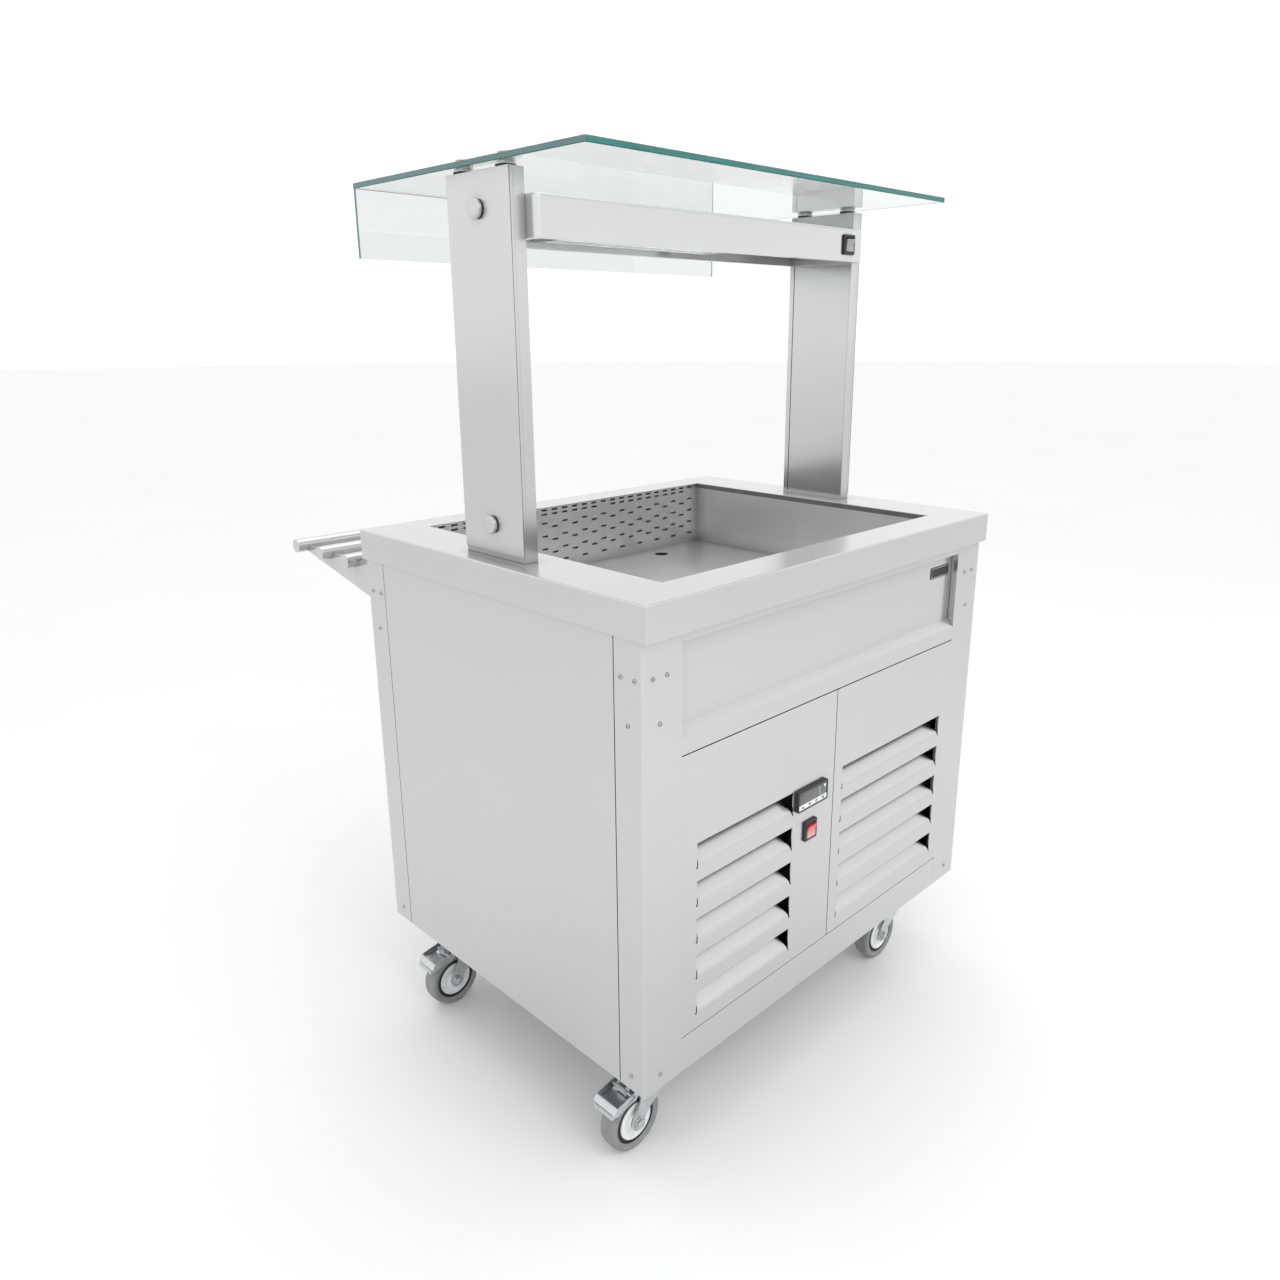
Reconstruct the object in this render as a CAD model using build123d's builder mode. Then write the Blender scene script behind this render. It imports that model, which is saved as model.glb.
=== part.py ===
"""Mobile refrigerated servery counter with a blown-air well, gantry lamp and glass sneeze guard.

Millimetres. Z = 0 is the floor. -Y is the operator's front with the louvres, +Y is the customer's
side with the tray slide. The origin is under the middle of the whole footprint, tray slide included.
"""
from build123d import *
import os

os.makedirs("parts", exist_ok=True)

# ---------------------------------------------------------------- driving dimensions
LENGTH = 870.0               # worktop, along X
WORKTOP_DEPTH = 690.0        # worktop, along Y
TRAY_REACH = 260.0           # tray slide, past the worktop's customer edge
WORKTOP_HEIGHT = 900.0
LIP = 50.0                   # height of the worktop's turned-down edge
SHEET = 1.5                  # sheet steel thickness
BODY_BOTTOM = 170.0
BODY_LENGTH = 865.0
BODY_DEPTH = 665.0
FRONT_OVERHANG = 12.0        # worktop past the body at the operator's side
WELL_SIZE = (676.0, 560.0)   # opening for two 1/1 gastronorm pans
WELL_DEPTH = 125.0
WELL_OFFSET = 68.0           # worktop's front edge to the opening
GANTRY_HEIGHT = 526.0        # worktop to the top of the posts
GLASS_THICK = 8.0
WHEEL_D = 100.0
CASTER_HEIGHT = 130.0        # floor to the top of the caster plates

# ---------------------------------------------------------------- worked-out limits
HALF = LENGTH / 2
FRONT = -(WORKTOP_DEPTH + TRAY_REACH) / 2
BACK = FRONT + WORKTOP_DEPTH
LIP_BOTTOM = WORKTOP_HEIGHT - LIP
DECK_UNDER = WORKTOP_HEIGHT - SHEET
BODY_HALF = BODY_LENGTH / 2
BODY_FRONT = FRONT + FRONT_OVERHANG
BODY_BACK = BODY_FRONT + BODY_DEPTH
WELL_HALF = WELL_SIZE[0] / 2
WELL_FRONT = FRONT + WELL_OFFSET
WELL_BACK = WELL_FRONT + WELL_SIZE[1]
WELL_FLOOR = WORKTOP_HEIGHT - WELL_DEPTH
POST_TOP = WORKTOP_HEIGHT + GANTRY_HEIGHT


def block(x, y, z, mode=Mode.ADD):
    """Box between a low and a high limit on each axis."""
    limits = (x, y, z)
    centre = tuple((low + high) / 2 for low, high in limits)
    with Locations(centre):
        Box(*(high - low for low, high in limits), mode=mode)


def disc(centre, radius, length, axis="Z", mode=Mode.ADD):
    """Cylinder centred on a point, along X, Y or Z."""
    turn = {"X": (0, 90, 0), "Y": (90, 0, 0), "Z": (0, 0, 0)}[axis]
    with Locations(Location(centre, turn)):
        Cylinder(radius, length, mode=mode)


def rod_y(at, diameter, ends):
    """Round bar along Y, at a place in X and Z, between two ends."""
    disc((at[0], sum(ends) / 2, at[1]), diameter / 2, ends[1] - ends[0], "Y")


def save(part, name):
    """Label a finished piece and write it as its own STEP file."""
    part.label = name
    export_step(part, f"parts/{name}.step")


def across(low, high):
    """Both limits of a stretch and the same stretch mirrored to -X, left first."""
    return ((-high, -low), (low, high))


# ---------------------------------------------------------------- base frame and casters
RAIL = 36.0                  # square tube of the base frame
RAIL_WALL = 2.0
PAD = 4.0                    # corner plates under the rails
PAD_SIZE = (115.0, 100.0)
SWIVEL_X = 340.5
SWIVEL_FRONT = FRONT + 100.0
SWIVEL_BACK = FRONT + 589.0
PLATE_SIZE = (105.0, 85.0)
PLATE_THICK = 4.0
STUD_SPACING = (80.0, 60.0)
STUD_D = 8.0
STUD_LENGTH = 14.0
STUD_FIT = 0.4               # radial, stud to pad
NUT_RADIUS = 7.5             # across the corners
NUT_HEIGHT = 6.5
KINGPIN_D = 12.0
KINGPIN_Z = (107.0, 127.0)
KINGPIN_HEAD_Z = (104.0, 109.0)
KINGPIN_HEAD_D = 20.0
CROSS_RAIL_PAST = 50.0       # cross rails past the swivel axes
CLEARANCE = 0.05             # radial, every running fit
CORNERS = {
    "front_left": (-SWIVEL_X, SWIVEL_FRONT),
    "front_right": (SWIVEL_X, SWIVEL_FRONT),
    "back_left": (-SWIVEL_X, SWIVEL_BACK),
    "back_right": (SWIVEL_X, SWIVEL_BACK),
}
RAIL_BOTTOM = CASTER_HEIGHT + PAD


def rail(x, y, hollow):
    """Closed square tube between the pad plates and the base tray."""
    block(x, y, (RAIL_BOTTOM, BODY_BOTTOM))
    inner_z = (RAIL_BOTTOM + RAIL_WALL, BODY_BOTTOM - RAIL_WALL)
    if hollow == "X":
        block(x, (y[0] + RAIL_WALL, y[1] - RAIL_WALL), inner_z, Mode.SUBTRACT)
    else:
        block((x[0] + RAIL_WALL, x[1] - RAIL_WALL), y, inner_z, Mode.SUBTRACT)


with BuildPart() as chassis_frame:
    for centre_x in (-SWIVEL_X, SWIVEL_X):
        rail((centre_x - RAIL / 2, centre_x + RAIL / 2),
             (SWIVEL_FRONT + RAIL / 2, SWIVEL_BACK - RAIL / 2), "Y")
    for centre_y in (SWIVEL_FRONT, SWIVEL_BACK):
        rail((-SWIVEL_X - CROSS_RAIL_PAST, SWIVEL_X + CROSS_RAIL_PAST),
             (centre_y - RAIL / 2, centre_y + RAIL / 2), "X")
    for x, y in CORNERS.values():
        block((x - PAD_SIZE[0] / 2, x + PAD_SIZE[0] / 2), (y - PAD_SIZE[1] / 2, y + PAD_SIZE[1] / 2),
              (CASTER_HEIGHT, RAIL_BOTTOM))
    with Locations(*((x, y, CASTER_HEIGHT) for x, y in CORNERS.values())):
        with GridLocations(*STUD_SPACING, 2, 2):
            Hole(STUD_D / 2 + STUD_FIT, depth=PAD * 3)
save(chassis_frame.part, "chassis_frame")

with BuildPart() as caster_plates:
    for x, y in CORNERS.values():
        block((x - PLATE_SIZE[0] / 2, x + PLATE_SIZE[0] / 2),
              (y - PLATE_SIZE[1] / 2, y + PLATE_SIZE[1] / 2), (CASTER_HEIGHT - PLATE_THICK, CASTER_HEIGHT))
        for (low, high), diameter in ((KINGPIN_Z, KINGPIN_D), (KINGPIN_HEAD_Z, KINGPIN_HEAD_D)):
            disc((x, y, (low + high) / 2), diameter / 2, high - low)
        for stud in GridLocations(*STUD_SPACING, 2, 2):
            place = (x + stud.position.X, y + stud.position.Y)
            disc((*place, CASTER_HEIGHT + STUD_LENGTH / 2), STUD_D / 2, STUD_LENGTH)
            with BuildSketch(Plane.XY.offset(RAIL_BOTTOM)):
                with Locations(place):
                    RegularPolygon(NUT_RADIUS, 6)
            extrude(amount=NUT_HEIGHT)
save(caster_plates.part, "caster_plates")

# The wheel trails 39 mm behind the kingpin, towards -X at rest.
TRAIL = 39.0
AXLE_Z = WHEEL_D / 2
AXLE_D = 8.0
TYRE_WIDTH = 32.0
HUB_D = 74.0
HUB_WIDTH = 30.0
WEB_RADII = (14.0, 30.0)     # groove in each side of the hub
WEB_DEPTH = 5.0
TYRE_ROUND = 6.0
CHEEK_IN = 18.0              # half the gap between the fork's cheeks
CHEEK = 3.0
CHEEK_OUT = CHEEK_IN + CHEEK
YOKE_TOP = 116.0
YOKE_X = (-38.0, 30.0)       # ends of the yoke about the kingpin
WAIST_BACK = (20.0, 88.0)    # middle of the cheek's rear edge, from the kingpin's axis
WAIST_FRONT = (-37.0, 84.0)
YOKE_THICK = 4.0
RACE_D = 54.0
RACE_HEIGHT = 9.7
AXLE_EAR = 13.0             # rounded end of the cheek round the axle
PEDAL_PIVOT = (-52.0, 106.0)  # local X and Z of the brake's pin
PEDAL_PIN_D = 6.0
PEDAL_BOSS = (12.0, 16.0)    # diameter and width of the fork's boss for the pin
PEDAL_SIDE = ((8, 9), (-34, 1), (-40, -8), (-34, -14), (2, -7), (9, -2))     # about the pin
PEDAL_WALL = 2.0
PEDAL_PLAY = 0.5
TREAD_X = (-32.0, -7.5)      # sunken tread, about the pin
TREAD_Z = (-4.0, -2.0)
TOE_X = (-41.5, -31.0)
TOE_Z = (-18.0, -9.0)
AXLE_END_D = 14.0
AXLE_END = 5.0


def fork(x, y, braked):
    """Swivel fork: bearing race, yoke, two tapered cheeks and the axle bolt."""
    with BuildPart() as piece:
        with BuildSketch(Plane.XZ.offset(-y - CHEEK_OUT)):
            with BuildLine():
                top_left, top_right = ((x + end, YOKE_TOP) for end in YOKE_X)
                ear_left, ear_right = (x - TRAIL - AXLE_EAR, AXLE_Z), (x - TRAIL + AXLE_EAR, AXLE_Z)
                Line(top_left, top_right)
                Spline(top_right, (x + WAIST_BACK[0], WAIST_BACK[1]), ear_right,
                       tangents=((0, -1), (-0.35, -1)))
                ThreePointArc(ear_right, (x - TRAIL, AXLE_Z - AXLE_EAR), ear_left)
                Spline(ear_left, (x + WAIST_FRONT[0], WAIST_FRONT[1]), top_left,
                       tangents=((0.2, 1), (-0.3, 1)))
            make_face()
        extrude(amount=2 * CHEEK_OUT)
        block((x - WHEEL_D, x + WHEEL_D), (y - CHEEK_IN, y + CHEEK_IN), (0, YOKE_TOP - YOKE_THICK),
              Mode.SUBTRACT)
        disc((x, y, YOKE_TOP + RACE_HEIGHT / 2), RACE_D / 2, RACE_HEIGHT)
        disc((x, y, YOKE_TOP), KINGPIN_D / 2 + CLEARANCE, 40, mode=Mode.SUBTRACT)
        disc((x - TRAIL, y, AXLE_Z), AXLE_D / 2, 2 * (CHEEK_OUT + AXLE_END), "Y")
        for side in (-1, 1):
            disc((x - TRAIL, y + side * (CHEEK_OUT + AXLE_END / 2), AXLE_Z), AXLE_END_D / 2, AXLE_END, "Y")
        if braked:
            pin = (x + PEDAL_PIVOT[0], y, PEDAL_PIVOT[1])
            diameter, width = PEDAL_BOSS
            block((pin[0] - 5, x - 30), (y - width / 2, y + width / 2), (pin[2] + 3, YOKE_TOP))
            disc(pin, diameter / 2, width, "Y")
            disc(pin, PEDAL_PIN_D / 2, 2 * (CHEEK_OUT + 2 * CHEEK), "Y")
    return piece.part


def wheel(x, y):
    """Hub with a grooved web and a round-shouldered tyre, one solid each."""
    axle = Plane(origin=(x - TRAIL, y, AXLE_Z), x_dir=(1, 0, 0), z_dir=(0, 1, 0))
    with BuildPart() as hub:
        with BuildSketch(axle):
            Circle(HUB_D / 2)
            Circle(AXLE_D / 2 + CLEARANCE, mode=Mode.SUBTRACT)
        extrude(amount=HUB_WIDTH / 2, both=True)
        for side in (-1, 1):
            with BuildSketch(axle.offset(side * HUB_WIDTH / 2)):
                Circle(WEB_RADII[1])
                Circle(WEB_RADII[0], mode=Mode.SUBTRACT)
            extrude(amount=-side * WEB_DEPTH, mode=Mode.SUBTRACT)
    with BuildPart() as tyre:
        with BuildSketch(axle):
            Circle(WHEEL_D / 2)
            Circle(HUB_D / 2, mode=Mode.SUBTRACT)
        extrude(amount=TYRE_WIDTH / 2, both=True)
        rims = tyre.edges().filter_by(GeomType.CIRCLE).group_by(SortBy.RADIUS)[-1]
        fillet(rims, TYRE_ROUND)
    return Compound(children=[hub.part, tyre.part])


def pedal(x, y):
    """Stamped brake pedal: two side arms, a sunken tread between them and a turned-down toe."""
    pin_x, pin_z = x + PEDAL_PIVOT[0], PEDAL_PIVOT[1]
    outer = CHEEK_OUT + PEDAL_PLAY + PEDAL_WALL
    inner = outer - PEDAL_WALL
    with BuildPart() as piece:
        with BuildSketch(Plane.XZ.offset(-y - outer)):
            with BuildLine():
                Polyline(*((pin_x + along, pin_z + up) for along, up in PEDAL_SIDE), close=True)
            make_face()
        extrude(amount=2 * outer)
        block((pin_x + TOE_X[1], x), (y - inner, y + inner), (AXLE_Z, CASTER_HEIGHT), Mode.SUBTRACT)
        block((pin_x + TREAD_X[0], pin_x + TREAD_X[1]), (y - inner - 1, y + inner + 1),
              (pin_z + TREAD_Z[0], pin_z + TREAD_Z[1]))
        disc((pin_x, y, pin_z), PEDAL_PIN_D / 2 + CLEARANCE, WHEEL_D, "Y", Mode.SUBTRACT)
        block((pin_x + TOE_X[0], pin_x + TOE_X[1]), (y - inner + PEDAL_WALL, y + inner - PEDAL_WALL),
              (pin_z + TOE_Z[0], pin_z + TOE_Z[1]))
    return piece.part


for corner, (x, y) in CORNERS.items():
    save(fork(x, y, corner.endswith("left")), f"caster_fork_{corner}")
    save(wheel(x, y), f"caster_wheel_{corner}")
    if corner.endswith("left"):
        save(pedal(x, y), f"brake_pedal_{corner}")

# ---------------------------------------------------------------- body panels
POST_FLANGE = 75.0           # corner profile on the front and back faces
SIDE_FLANGE = 50.0           # corner profile on the side faces
RETURN = 12.0                # inward folds
RETURN_TOP = 725.0           # side folds stop below the insulation
SEAM = 1.5
BAY_HALF = BODY_HALF - POST_FLANGE
DRAIN = (180.0, FRONT + 582.0)
DRAIN_OUTLET = (180.0, DRAIN[1] - 67.0)
DRAIN_PIPE_D = 32.0
GLAND = (-300.0, 230.0)      # X and Z of the mains cable gland
GLAND_THREAD_D = 16.0
GLAND_BORE_D = 9.0
CORNER_RADIUS = 3.0


def corner_profile(left, front):
    """Folded corner upright with an inward return at both free edges."""
    sx = -1 if left else 1
    face = BODY_FRONT if front else BODY_BACK
    inward = 1 if front else -1

    def x_span(a, b):
        return tuple(sorted((sx * a, sx * b)))

    def y_span(a, b):
        return tuple(sorted((face + inward * a, face + inward * b)))

    with BuildPart() as piece:
        block(x_span(BAY_HALF, BODY_HALF), y_span(0, SHEET), (BODY_BOTTOM, LIP_BOTTOM))
        block(x_span(BODY_HALF - SHEET, BODY_HALF), y_span(0, SIDE_FLANGE), (BODY_BOTTOM, LIP_BOTTOM))
        outer = piece.edges().filter_by(Axis.Z).sort_by_distance((sx * BODY_HALF, face, LIP_BOTTOM / 2))[0]
        fillet(outer, SHEET - 0.1)
        block(x_span(BAY_HALF, BAY_HALF + SHEET), y_span(0, RETURN),
              (BODY_BOTTOM + SHEET, LIP_BOTTOM if front else RETURN_TOP))
        block(x_span(BODY_HALF - RETURN, BODY_HALF), y_span(SIDE_FLANGE - SHEET, SIDE_FLANGE),
              (BODY_BOTTOM + SHEET, RETURN_TOP))
    return piece.part


def side_panel(left):
    """Flat side panel between the two corner profiles, with folds along both ends."""
    x_out = (-BODY_HALF, -BODY_HALF + SHEET) if left else (BODY_HALF - SHEET, BODY_HALF)
    x_fold = (-BODY_HALF, -BODY_HALF + RETURN) if left else (BODY_HALF - RETURN, BODY_HALF)
    y_low = BODY_FRONT + SIDE_FLANGE + SEAM
    y_high = BODY_BACK - SIDE_FLANGE - SEAM
    with BuildPart() as piece:
        block(x_out, (y_low, y_high), (BODY_BOTTOM, LIP_BOTTOM))
        for y in ((y_low, y_low + SHEET), (y_high - SHEET, y_high)):
            block(x_fold, y, (BODY_BOTTOM + SHEET, RETURN_TOP))
    return piece.part


for side in ("left", "right"):
    for end in ("front", "back"):
        save(corner_profile(side == "left", end == "front"), f"corner_profile_{end}_{side}")
    save(side_panel(side == "left"), f"side_panel_{side}")

FASCIA_DEPTH = 12.0
UPPER_RAIL = LIP_BOTTOM - 15.0
LEDGE_BACK = 714.0
LEDGE_FRONT = 700.0
MID_RAIL_BOTTOM = 675.0
LOUVRE_TOP = MID_RAIL_BOTTOM - SEAM
LOUVRE_BOTTOM = 229.5
BOTTOM_RAIL = LOUVRE_BOTTOM - SEAM

with BuildPart() as base_tray:
    block((-BODY_HALF + SHEET, BODY_HALF - SHEET), (BODY_FRONT + SHEET, BODY_BACK - SHEET),
          (BODY_BOTTOM, BODY_BOTTOM + SHEET))
    block((-BAY_HALF, BAY_HALF), (BODY_FRONT, BODY_FRONT + SHEET), (BODY_BOTTOM, BOTTOM_RAIL))
    block((-BAY_HALF, BAY_HALF), (BODY_FRONT, BODY_FRONT + RETURN), (BOTTOM_RAIL - SHEET, BOTTOM_RAIL))
    disc((*DRAIN_OUTLET, BODY_BOTTOM), DRAIN_PIPE_D / 2 + 1, 10, mode=Mode.SUBTRACT)
save(base_tray.part, "base_tray")

with BuildPart() as back_panel:
    block((-BAY_HALF + SEAM, BAY_HALF - SEAM), (BODY_BACK - SHEET, BODY_BACK),
          (BODY_BOTTOM + SHEET, LIP_BOTTOM))
    for z in ((BODY_BOTTOM + SHEET, BODY_BOTTOM + 2 * SHEET), (RETURN_TOP - SHEET, RETURN_TOP)):
        block((-BAY_HALF + SEAM, BAY_HALF - SEAM), (BODY_BACK - RETURN, BODY_BACK), z)
    disc((GLAND[0], BODY_BACK, GLAND[1]), GLAND_THREAD_D / 2, 20, "Y", Mode.SUBTRACT)
save(back_panel.part, "back_panel")

with BuildPart() as front_fascia:
    with BuildSketch(Plane.YZ.offset(-BAY_HALF)):
        with BuildLine():
            Polyline((BODY_FRONT, LIP_BOTTOM), (BODY_FRONT, UPPER_RAIL),
                     (BODY_FRONT + FASCIA_DEPTH, UPPER_RAIL), (BODY_FRONT + FASCIA_DEPTH, LEDGE_BACK),
                     (BODY_FRONT, LEDGE_FRONT), (BODY_FRONT, MID_RAIL_BOTTOM),
                     (BODY_FRONT + RETURN, MID_RAIL_BOTTOM))
            offset(amount=SHEET, side=Side.LEFT)
        make_face()
    extrude(amount=2 * BAY_HALF)
save(front_fascia.part, "front_fascia")

# ---------------------------------------------------------------- louvred front panels
SLOT_HEIGHT = 38.5
SLOT_PITCH = 60.0
SLOT_LOW = 254.5
SLOT_COUNT = 5
BLADE_ANGLE = 46.0           # from the panel's plane
BLADE_BEND = 12.0
BLADE_ROOT = 2.0             # overlap with the panel under the slot
BLADE_TAPER = 0.42           # how much each end draws in per millimetre of height
BLADE_KERF = 2.5             # shortening of the flap by the laser cut and the bend
RELIEF_D = 3.4
LEFT_SLOTS = (-326.0, -107.0)
RIGHT_SLOTS = (24.0, 333.0)
CONTROLLER = (-62.0, 513.0)  # X and Z of the centre
CONTROLLER_CUTOUT = (71.0, 29.0)
POWER_SWITCH = (-62.0, 453.5)
SWITCH_CUTOUT = (28.0, 30.0)


def louvre_blade(x, z):
    """Flap of the cut-out, bent inwards about the slot's lower edge, with ends that draw in."""
    with BuildPart() as blade:
        with BuildSketch(Plane.YZ.offset(x[0])):
            with BuildLine():
                lower = Line((BODY_FRONT, z - BLADE_ROOT), (BODY_FRONT, z))
                bend = JernArc(lower @ 1, (0, 1), BLADE_BEND, -BLADE_ANGLE)
                Line(bend @ 1, bend @ 1 + (bend % 1) * (SLOT_HEIGHT - BLADE_KERF - bend.length))
                offset(amount=SHEET, side=Side.RIGHT)
            make_face()
        extrude(amount=x[1] - x[0])
        draw = BLADE_TAPER * SLOT_HEIGHT
        with BuildSketch(Plane.XZ.offset(1 - BODY_FRONT)):
            for end, side in zip(x, (1, -1)):
                with BuildLine():
                    Polyline((end, z + 1), (end + side * draw, z + 1 + SLOT_HEIGHT),
                             (end - side, z + 1 + SLOT_HEIGHT), (end - side, z + 1), close=True)
                make_face()
        extrude(amount=-SLOT_HEIGHT - 2, mode=Mode.SUBTRACT)
    return blade.part


def louvre_panel(x, slots, cutouts):
    """Lift-off front panel with five pressed louvres and an inward fold all round."""
    with BuildPart() as piece:
        block(x, (BODY_FRONT, BODY_FRONT + SHEET), (LOUVRE_BOTTOM, LOUVRE_TOP))
        for end in ((x[0], x[0] + SHEET), (x[1] - SHEET, x[1])):
            block(end, (BODY_FRONT, BODY_FRONT + RETURN), (LOUVRE_BOTTOM, LOUVRE_TOP))
        for edge in ((LOUVRE_BOTTOM, LOUVRE_BOTTOM + SHEET), (LOUVRE_TOP - SHEET, LOUVRE_TOP)):
            block(x, (BODY_FRONT, BODY_FRONT + RETURN), edge)
        for number in range(SLOT_COUNT):
            low = SLOT_LOW + number * SLOT_PITCH
            block(slots, (BODY_FRONT - 1, BODY_FRONT + 3), (low, low + SLOT_HEIGHT), Mode.SUBTRACT)
            for relief in slots:
                disc((relief, BODY_FRONT, low), RELIEF_D / 2, 10, "Y", Mode.SUBTRACT)
        for number in range(SLOT_COUNT):
            add(louvre_blade((slots[0] + RELIEF_D / 2, slots[1] - RELIEF_D / 2),
                             SLOT_LOW + number * SLOT_PITCH))
        for (cx, cz), (width, height) in cutouts:
            block((cx - width / 2, cx + width / 2), (BODY_FRONT - 1, BODY_FRONT + 3),
                  (cz - height / 2, cz + height / 2), Mode.SUBTRACT)
    return piece.part


save(louvre_panel((-BAY_HALF, -SEAM / 2), LEFT_SLOTS,
                  ((CONTROLLER, CONTROLLER_CUTOUT), (POWER_SWITCH, SWITCH_CUTOUT))), "louvre_panel_left")
save(louvre_panel((SEAM / 2, BAY_HALF), RIGHT_SLOTS, ()), "louvre_panel_right")

# ---------------------------------------------------------------- fixings and badge
RIVET_D = 7.0
RIVET_HEAD = 1.8
RIVET_TAPER = 35
RIVET_IN_FRONT = 34.0        # rivet column from the body's side, on the front and back faces
RIVET_IN_SIDE = 25.0         # and from its front or back, on the side faces
RIVET_ROWS = ((WORKTOP_HEIGHT - 103, -13), (WORKTOP_HEIGHT - 103, 13), (733, 0), (194, 2))
BRACKET_LOW = 768.0          # the tray brackets cover the back face above this


def rivet(at, direction):
    """Domed rivet head standing on a panel."""
    with BuildSketch(Plane(origin=at, z_dir=direction)) as seat:
        Circle(RIVET_D / 2)
    extrude(seat.sketch, amount=RIVET_HEAD, taper=RIVET_TAPER)


with BuildPart() as body_rivets:
    for z, shift in RIVET_ROWS:
        for sx in (-1, 1):
            x_face = sx * (BODY_HALF - RIVET_IN_FRONT + shift)
            rivet((x_face, BODY_FRONT, z), (0, -1, 0))
            if z < BRACKET_LOW:
                rivet((x_face, BODY_BACK, z), (0, 1, 0))
            rivet((sx * BODY_HALF, BODY_FRONT + RIVET_IN_SIDE + shift, z), (sx, 0, 0))
            rivet((sx * BODY_HALF, BODY_BACK - RIVET_IN_SIDE - shift, z), (sx, 0, 0))
save(body_rivets.part, "body_rivets")

BADGE = (316.0, 808.0)
BADGE_SIZE = (60.0, 20.0)
with BuildPart() as nameplate:
    face = BODY_FRONT + FASCIA_DEPTH
    block((BADGE[0] - BADGE_SIZE[0] / 2, BADGE[0] + BADGE_SIZE[0] / 2), (face - 1, face),
          (BADGE[1] - BADGE_SIZE[1] / 2, BADGE[1] + BADGE_SIZE[1] / 2))
save(nameplate.part, "nameplate")

# ---------------------------------------------------------------- worktop and well
WORKTOP_CORNER = 3.5
WORKTOP_FOLD = 2.5
with BuildPart() as worktop:
    block((-HALF, HALF), (FRONT, BACK), (LIP_BOTTOM, WORKTOP_HEIGHT))
    fillet(worktop.edges().filter_by(Axis.Z), WORKTOP_CORNER)
    fillet(worktop.faces().sort_by(Axis.Z)[-1].edges(), WORKTOP_FOLD)
    offset(amount=-SHEET, openings=worktop.faces().sort_by(Axis.Z)[0])
    block((-WELL_HALF, WELL_HALF), (WELL_FRONT, WELL_BACK), (LIP_BOTTOM, WORKTOP_HEIGHT + 1),
          Mode.SUBTRACT)
save(worktop.part, "worktop")

CHAMBER_LEFT = -408.0        # evaporator chamber at the left end
PLENUM_FRONT = WELL_FRONT - 18.0
PLENUM_BACK = WELL_BACK + 20.0
STRIP_HEIGHT = 8.5
LINER_TOP = DECK_UNDER - STRIP_HEIGHT
SLOT = (14.0, 3.5)
SLOT_STEP = 25.0
SLOT_COLUMNS = 26
COLUMN_DEPTHS = ((4, 29, 54, 79, 104), (4, 12, 37, 62, 87))

with BuildPart() as well_liner:
    block((CHAMBER_LEFT - SHEET, WELL_HALF + SHEET), (PLENUM_FRONT - SHEET, PLENUM_BACK + SHEET),
          (WELL_FLOOR - SHEET, LINER_TOP))
    block((CHAMBER_LEFT, WELL_HALF), (PLENUM_FRONT, PLENUM_BACK), (WELL_FLOOR, LINER_TOP + 1),
          Mode.SUBTRACT)
    disc((*DRAIN, WELL_FLOOR), DRAIN_PIPE_D / 2 - 2, 10, mode=Mode.SUBTRACT)
save(well_liner.part, "well_liner")

FOAM_FLOOR = 40.0
with BuildPart() as well_insulation:
    block((-BODY_HALF + SHEET + 1, WELL_HALF + 50), (BODY_FRONT + FASCIA_DEPTH + SHEET + 1, BODY_BACK - 4),
          (WELL_FLOOR - SHEET - FOAM_FLOOR, LINER_TOP))
    block((CHAMBER_LEFT - SHEET, WELL_HALF + SHEET), (PLENUM_FRONT - SHEET, PLENUM_BACK + SHEET),
          (WELL_FLOOR - SHEET, LINER_TOP + 1), Mode.SUBTRACT)
    disc((*DRAIN, WELL_FLOOR - 20), DRAIN_PIPE_D / 2 + 1, 100, mode=Mode.SUBTRACT)
save(well_insulation.part, "well_insulation")


def air_panel(y):
    """Perforated wall of the well: staggered columns of short slots under a close double row."""
    with BuildPart() as piece:
        block((-WELL_HALF, WELL_HALF), y, (WELL_FLOOR, DECK_UNDER))
        spots = []
        for column in range(SLOT_COLUMNS):
            x = (SLOT_COLUMNS - 1) / 2 * SLOT_STEP - column * SLOT_STEP
            depths = COLUMN_DEPTHS[column % 2]
            spots += [(x, DECK_UNDER - depth) for depth in depths]
            if column % 2 == 0 and column % 10:
                spots.append((x, DECK_UNDER - 12))
        with BuildSketch(Plane.XZ.offset(-y[0])):
            with Locations(*spots):
                SlotOverall(*SLOT)
        extrude(amount=5, both=True, mode=Mode.SUBTRACT)
    return piece.part


save(air_panel((WELL_BACK, WELL_BACK + SHEET)), "air_panel_back")
save(air_panel((WELL_FRONT - SHEET, WELL_FRONT)), "air_panel_front")

COVER_SLOT_ROWS = 3
COVER_SLOT_STEP = (30.0, 12.0)
COVER_SLOT_LOW = WELL_FLOOR + 20.0

with BuildPart() as evaporator_cover:
    block((-WELL_HALF - SHEET, -WELL_HALF), (WELL_FRONT, WELL_BACK), (WELL_FLOOR, LINER_TOP))
    for row in range(COVER_SLOT_ROWS):
        with BuildSketch(Plane.YZ.offset(-WELL_HALF)):
            with Locations(*(((WELL_FRONT + WELL_BACK) / 2 + step * COVER_SLOT_STEP[0],
                              COVER_SLOT_LOW + row * COVER_SLOT_STEP[1]) for step in range(-7, 8))):
                SlotOverall(*SLOT)
        extrude(amount=5, both=True, mode=Mode.SUBTRACT)
save(evaporator_cover.part, "evaporator_cover")

PAN_RAIL = 12.0

with BuildPart() as pan_rails:
    for x in across(WELL_HALF, WELL_HALF + PAN_RAIL):
        block(x, (WELL_FRONT, WELL_BACK), (LINER_TOP, DECK_UNDER))
save(pan_rails.part, "pan_rails")

DRAIN_OFFSET_Z = (320.0, 250.0)          # the pipe steps sideways between these heights
DRAIN_BEND = 50.0
DRAIN_WALL = 2.0
DRAIN_STUB = 20.0            # length below the base tray

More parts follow.
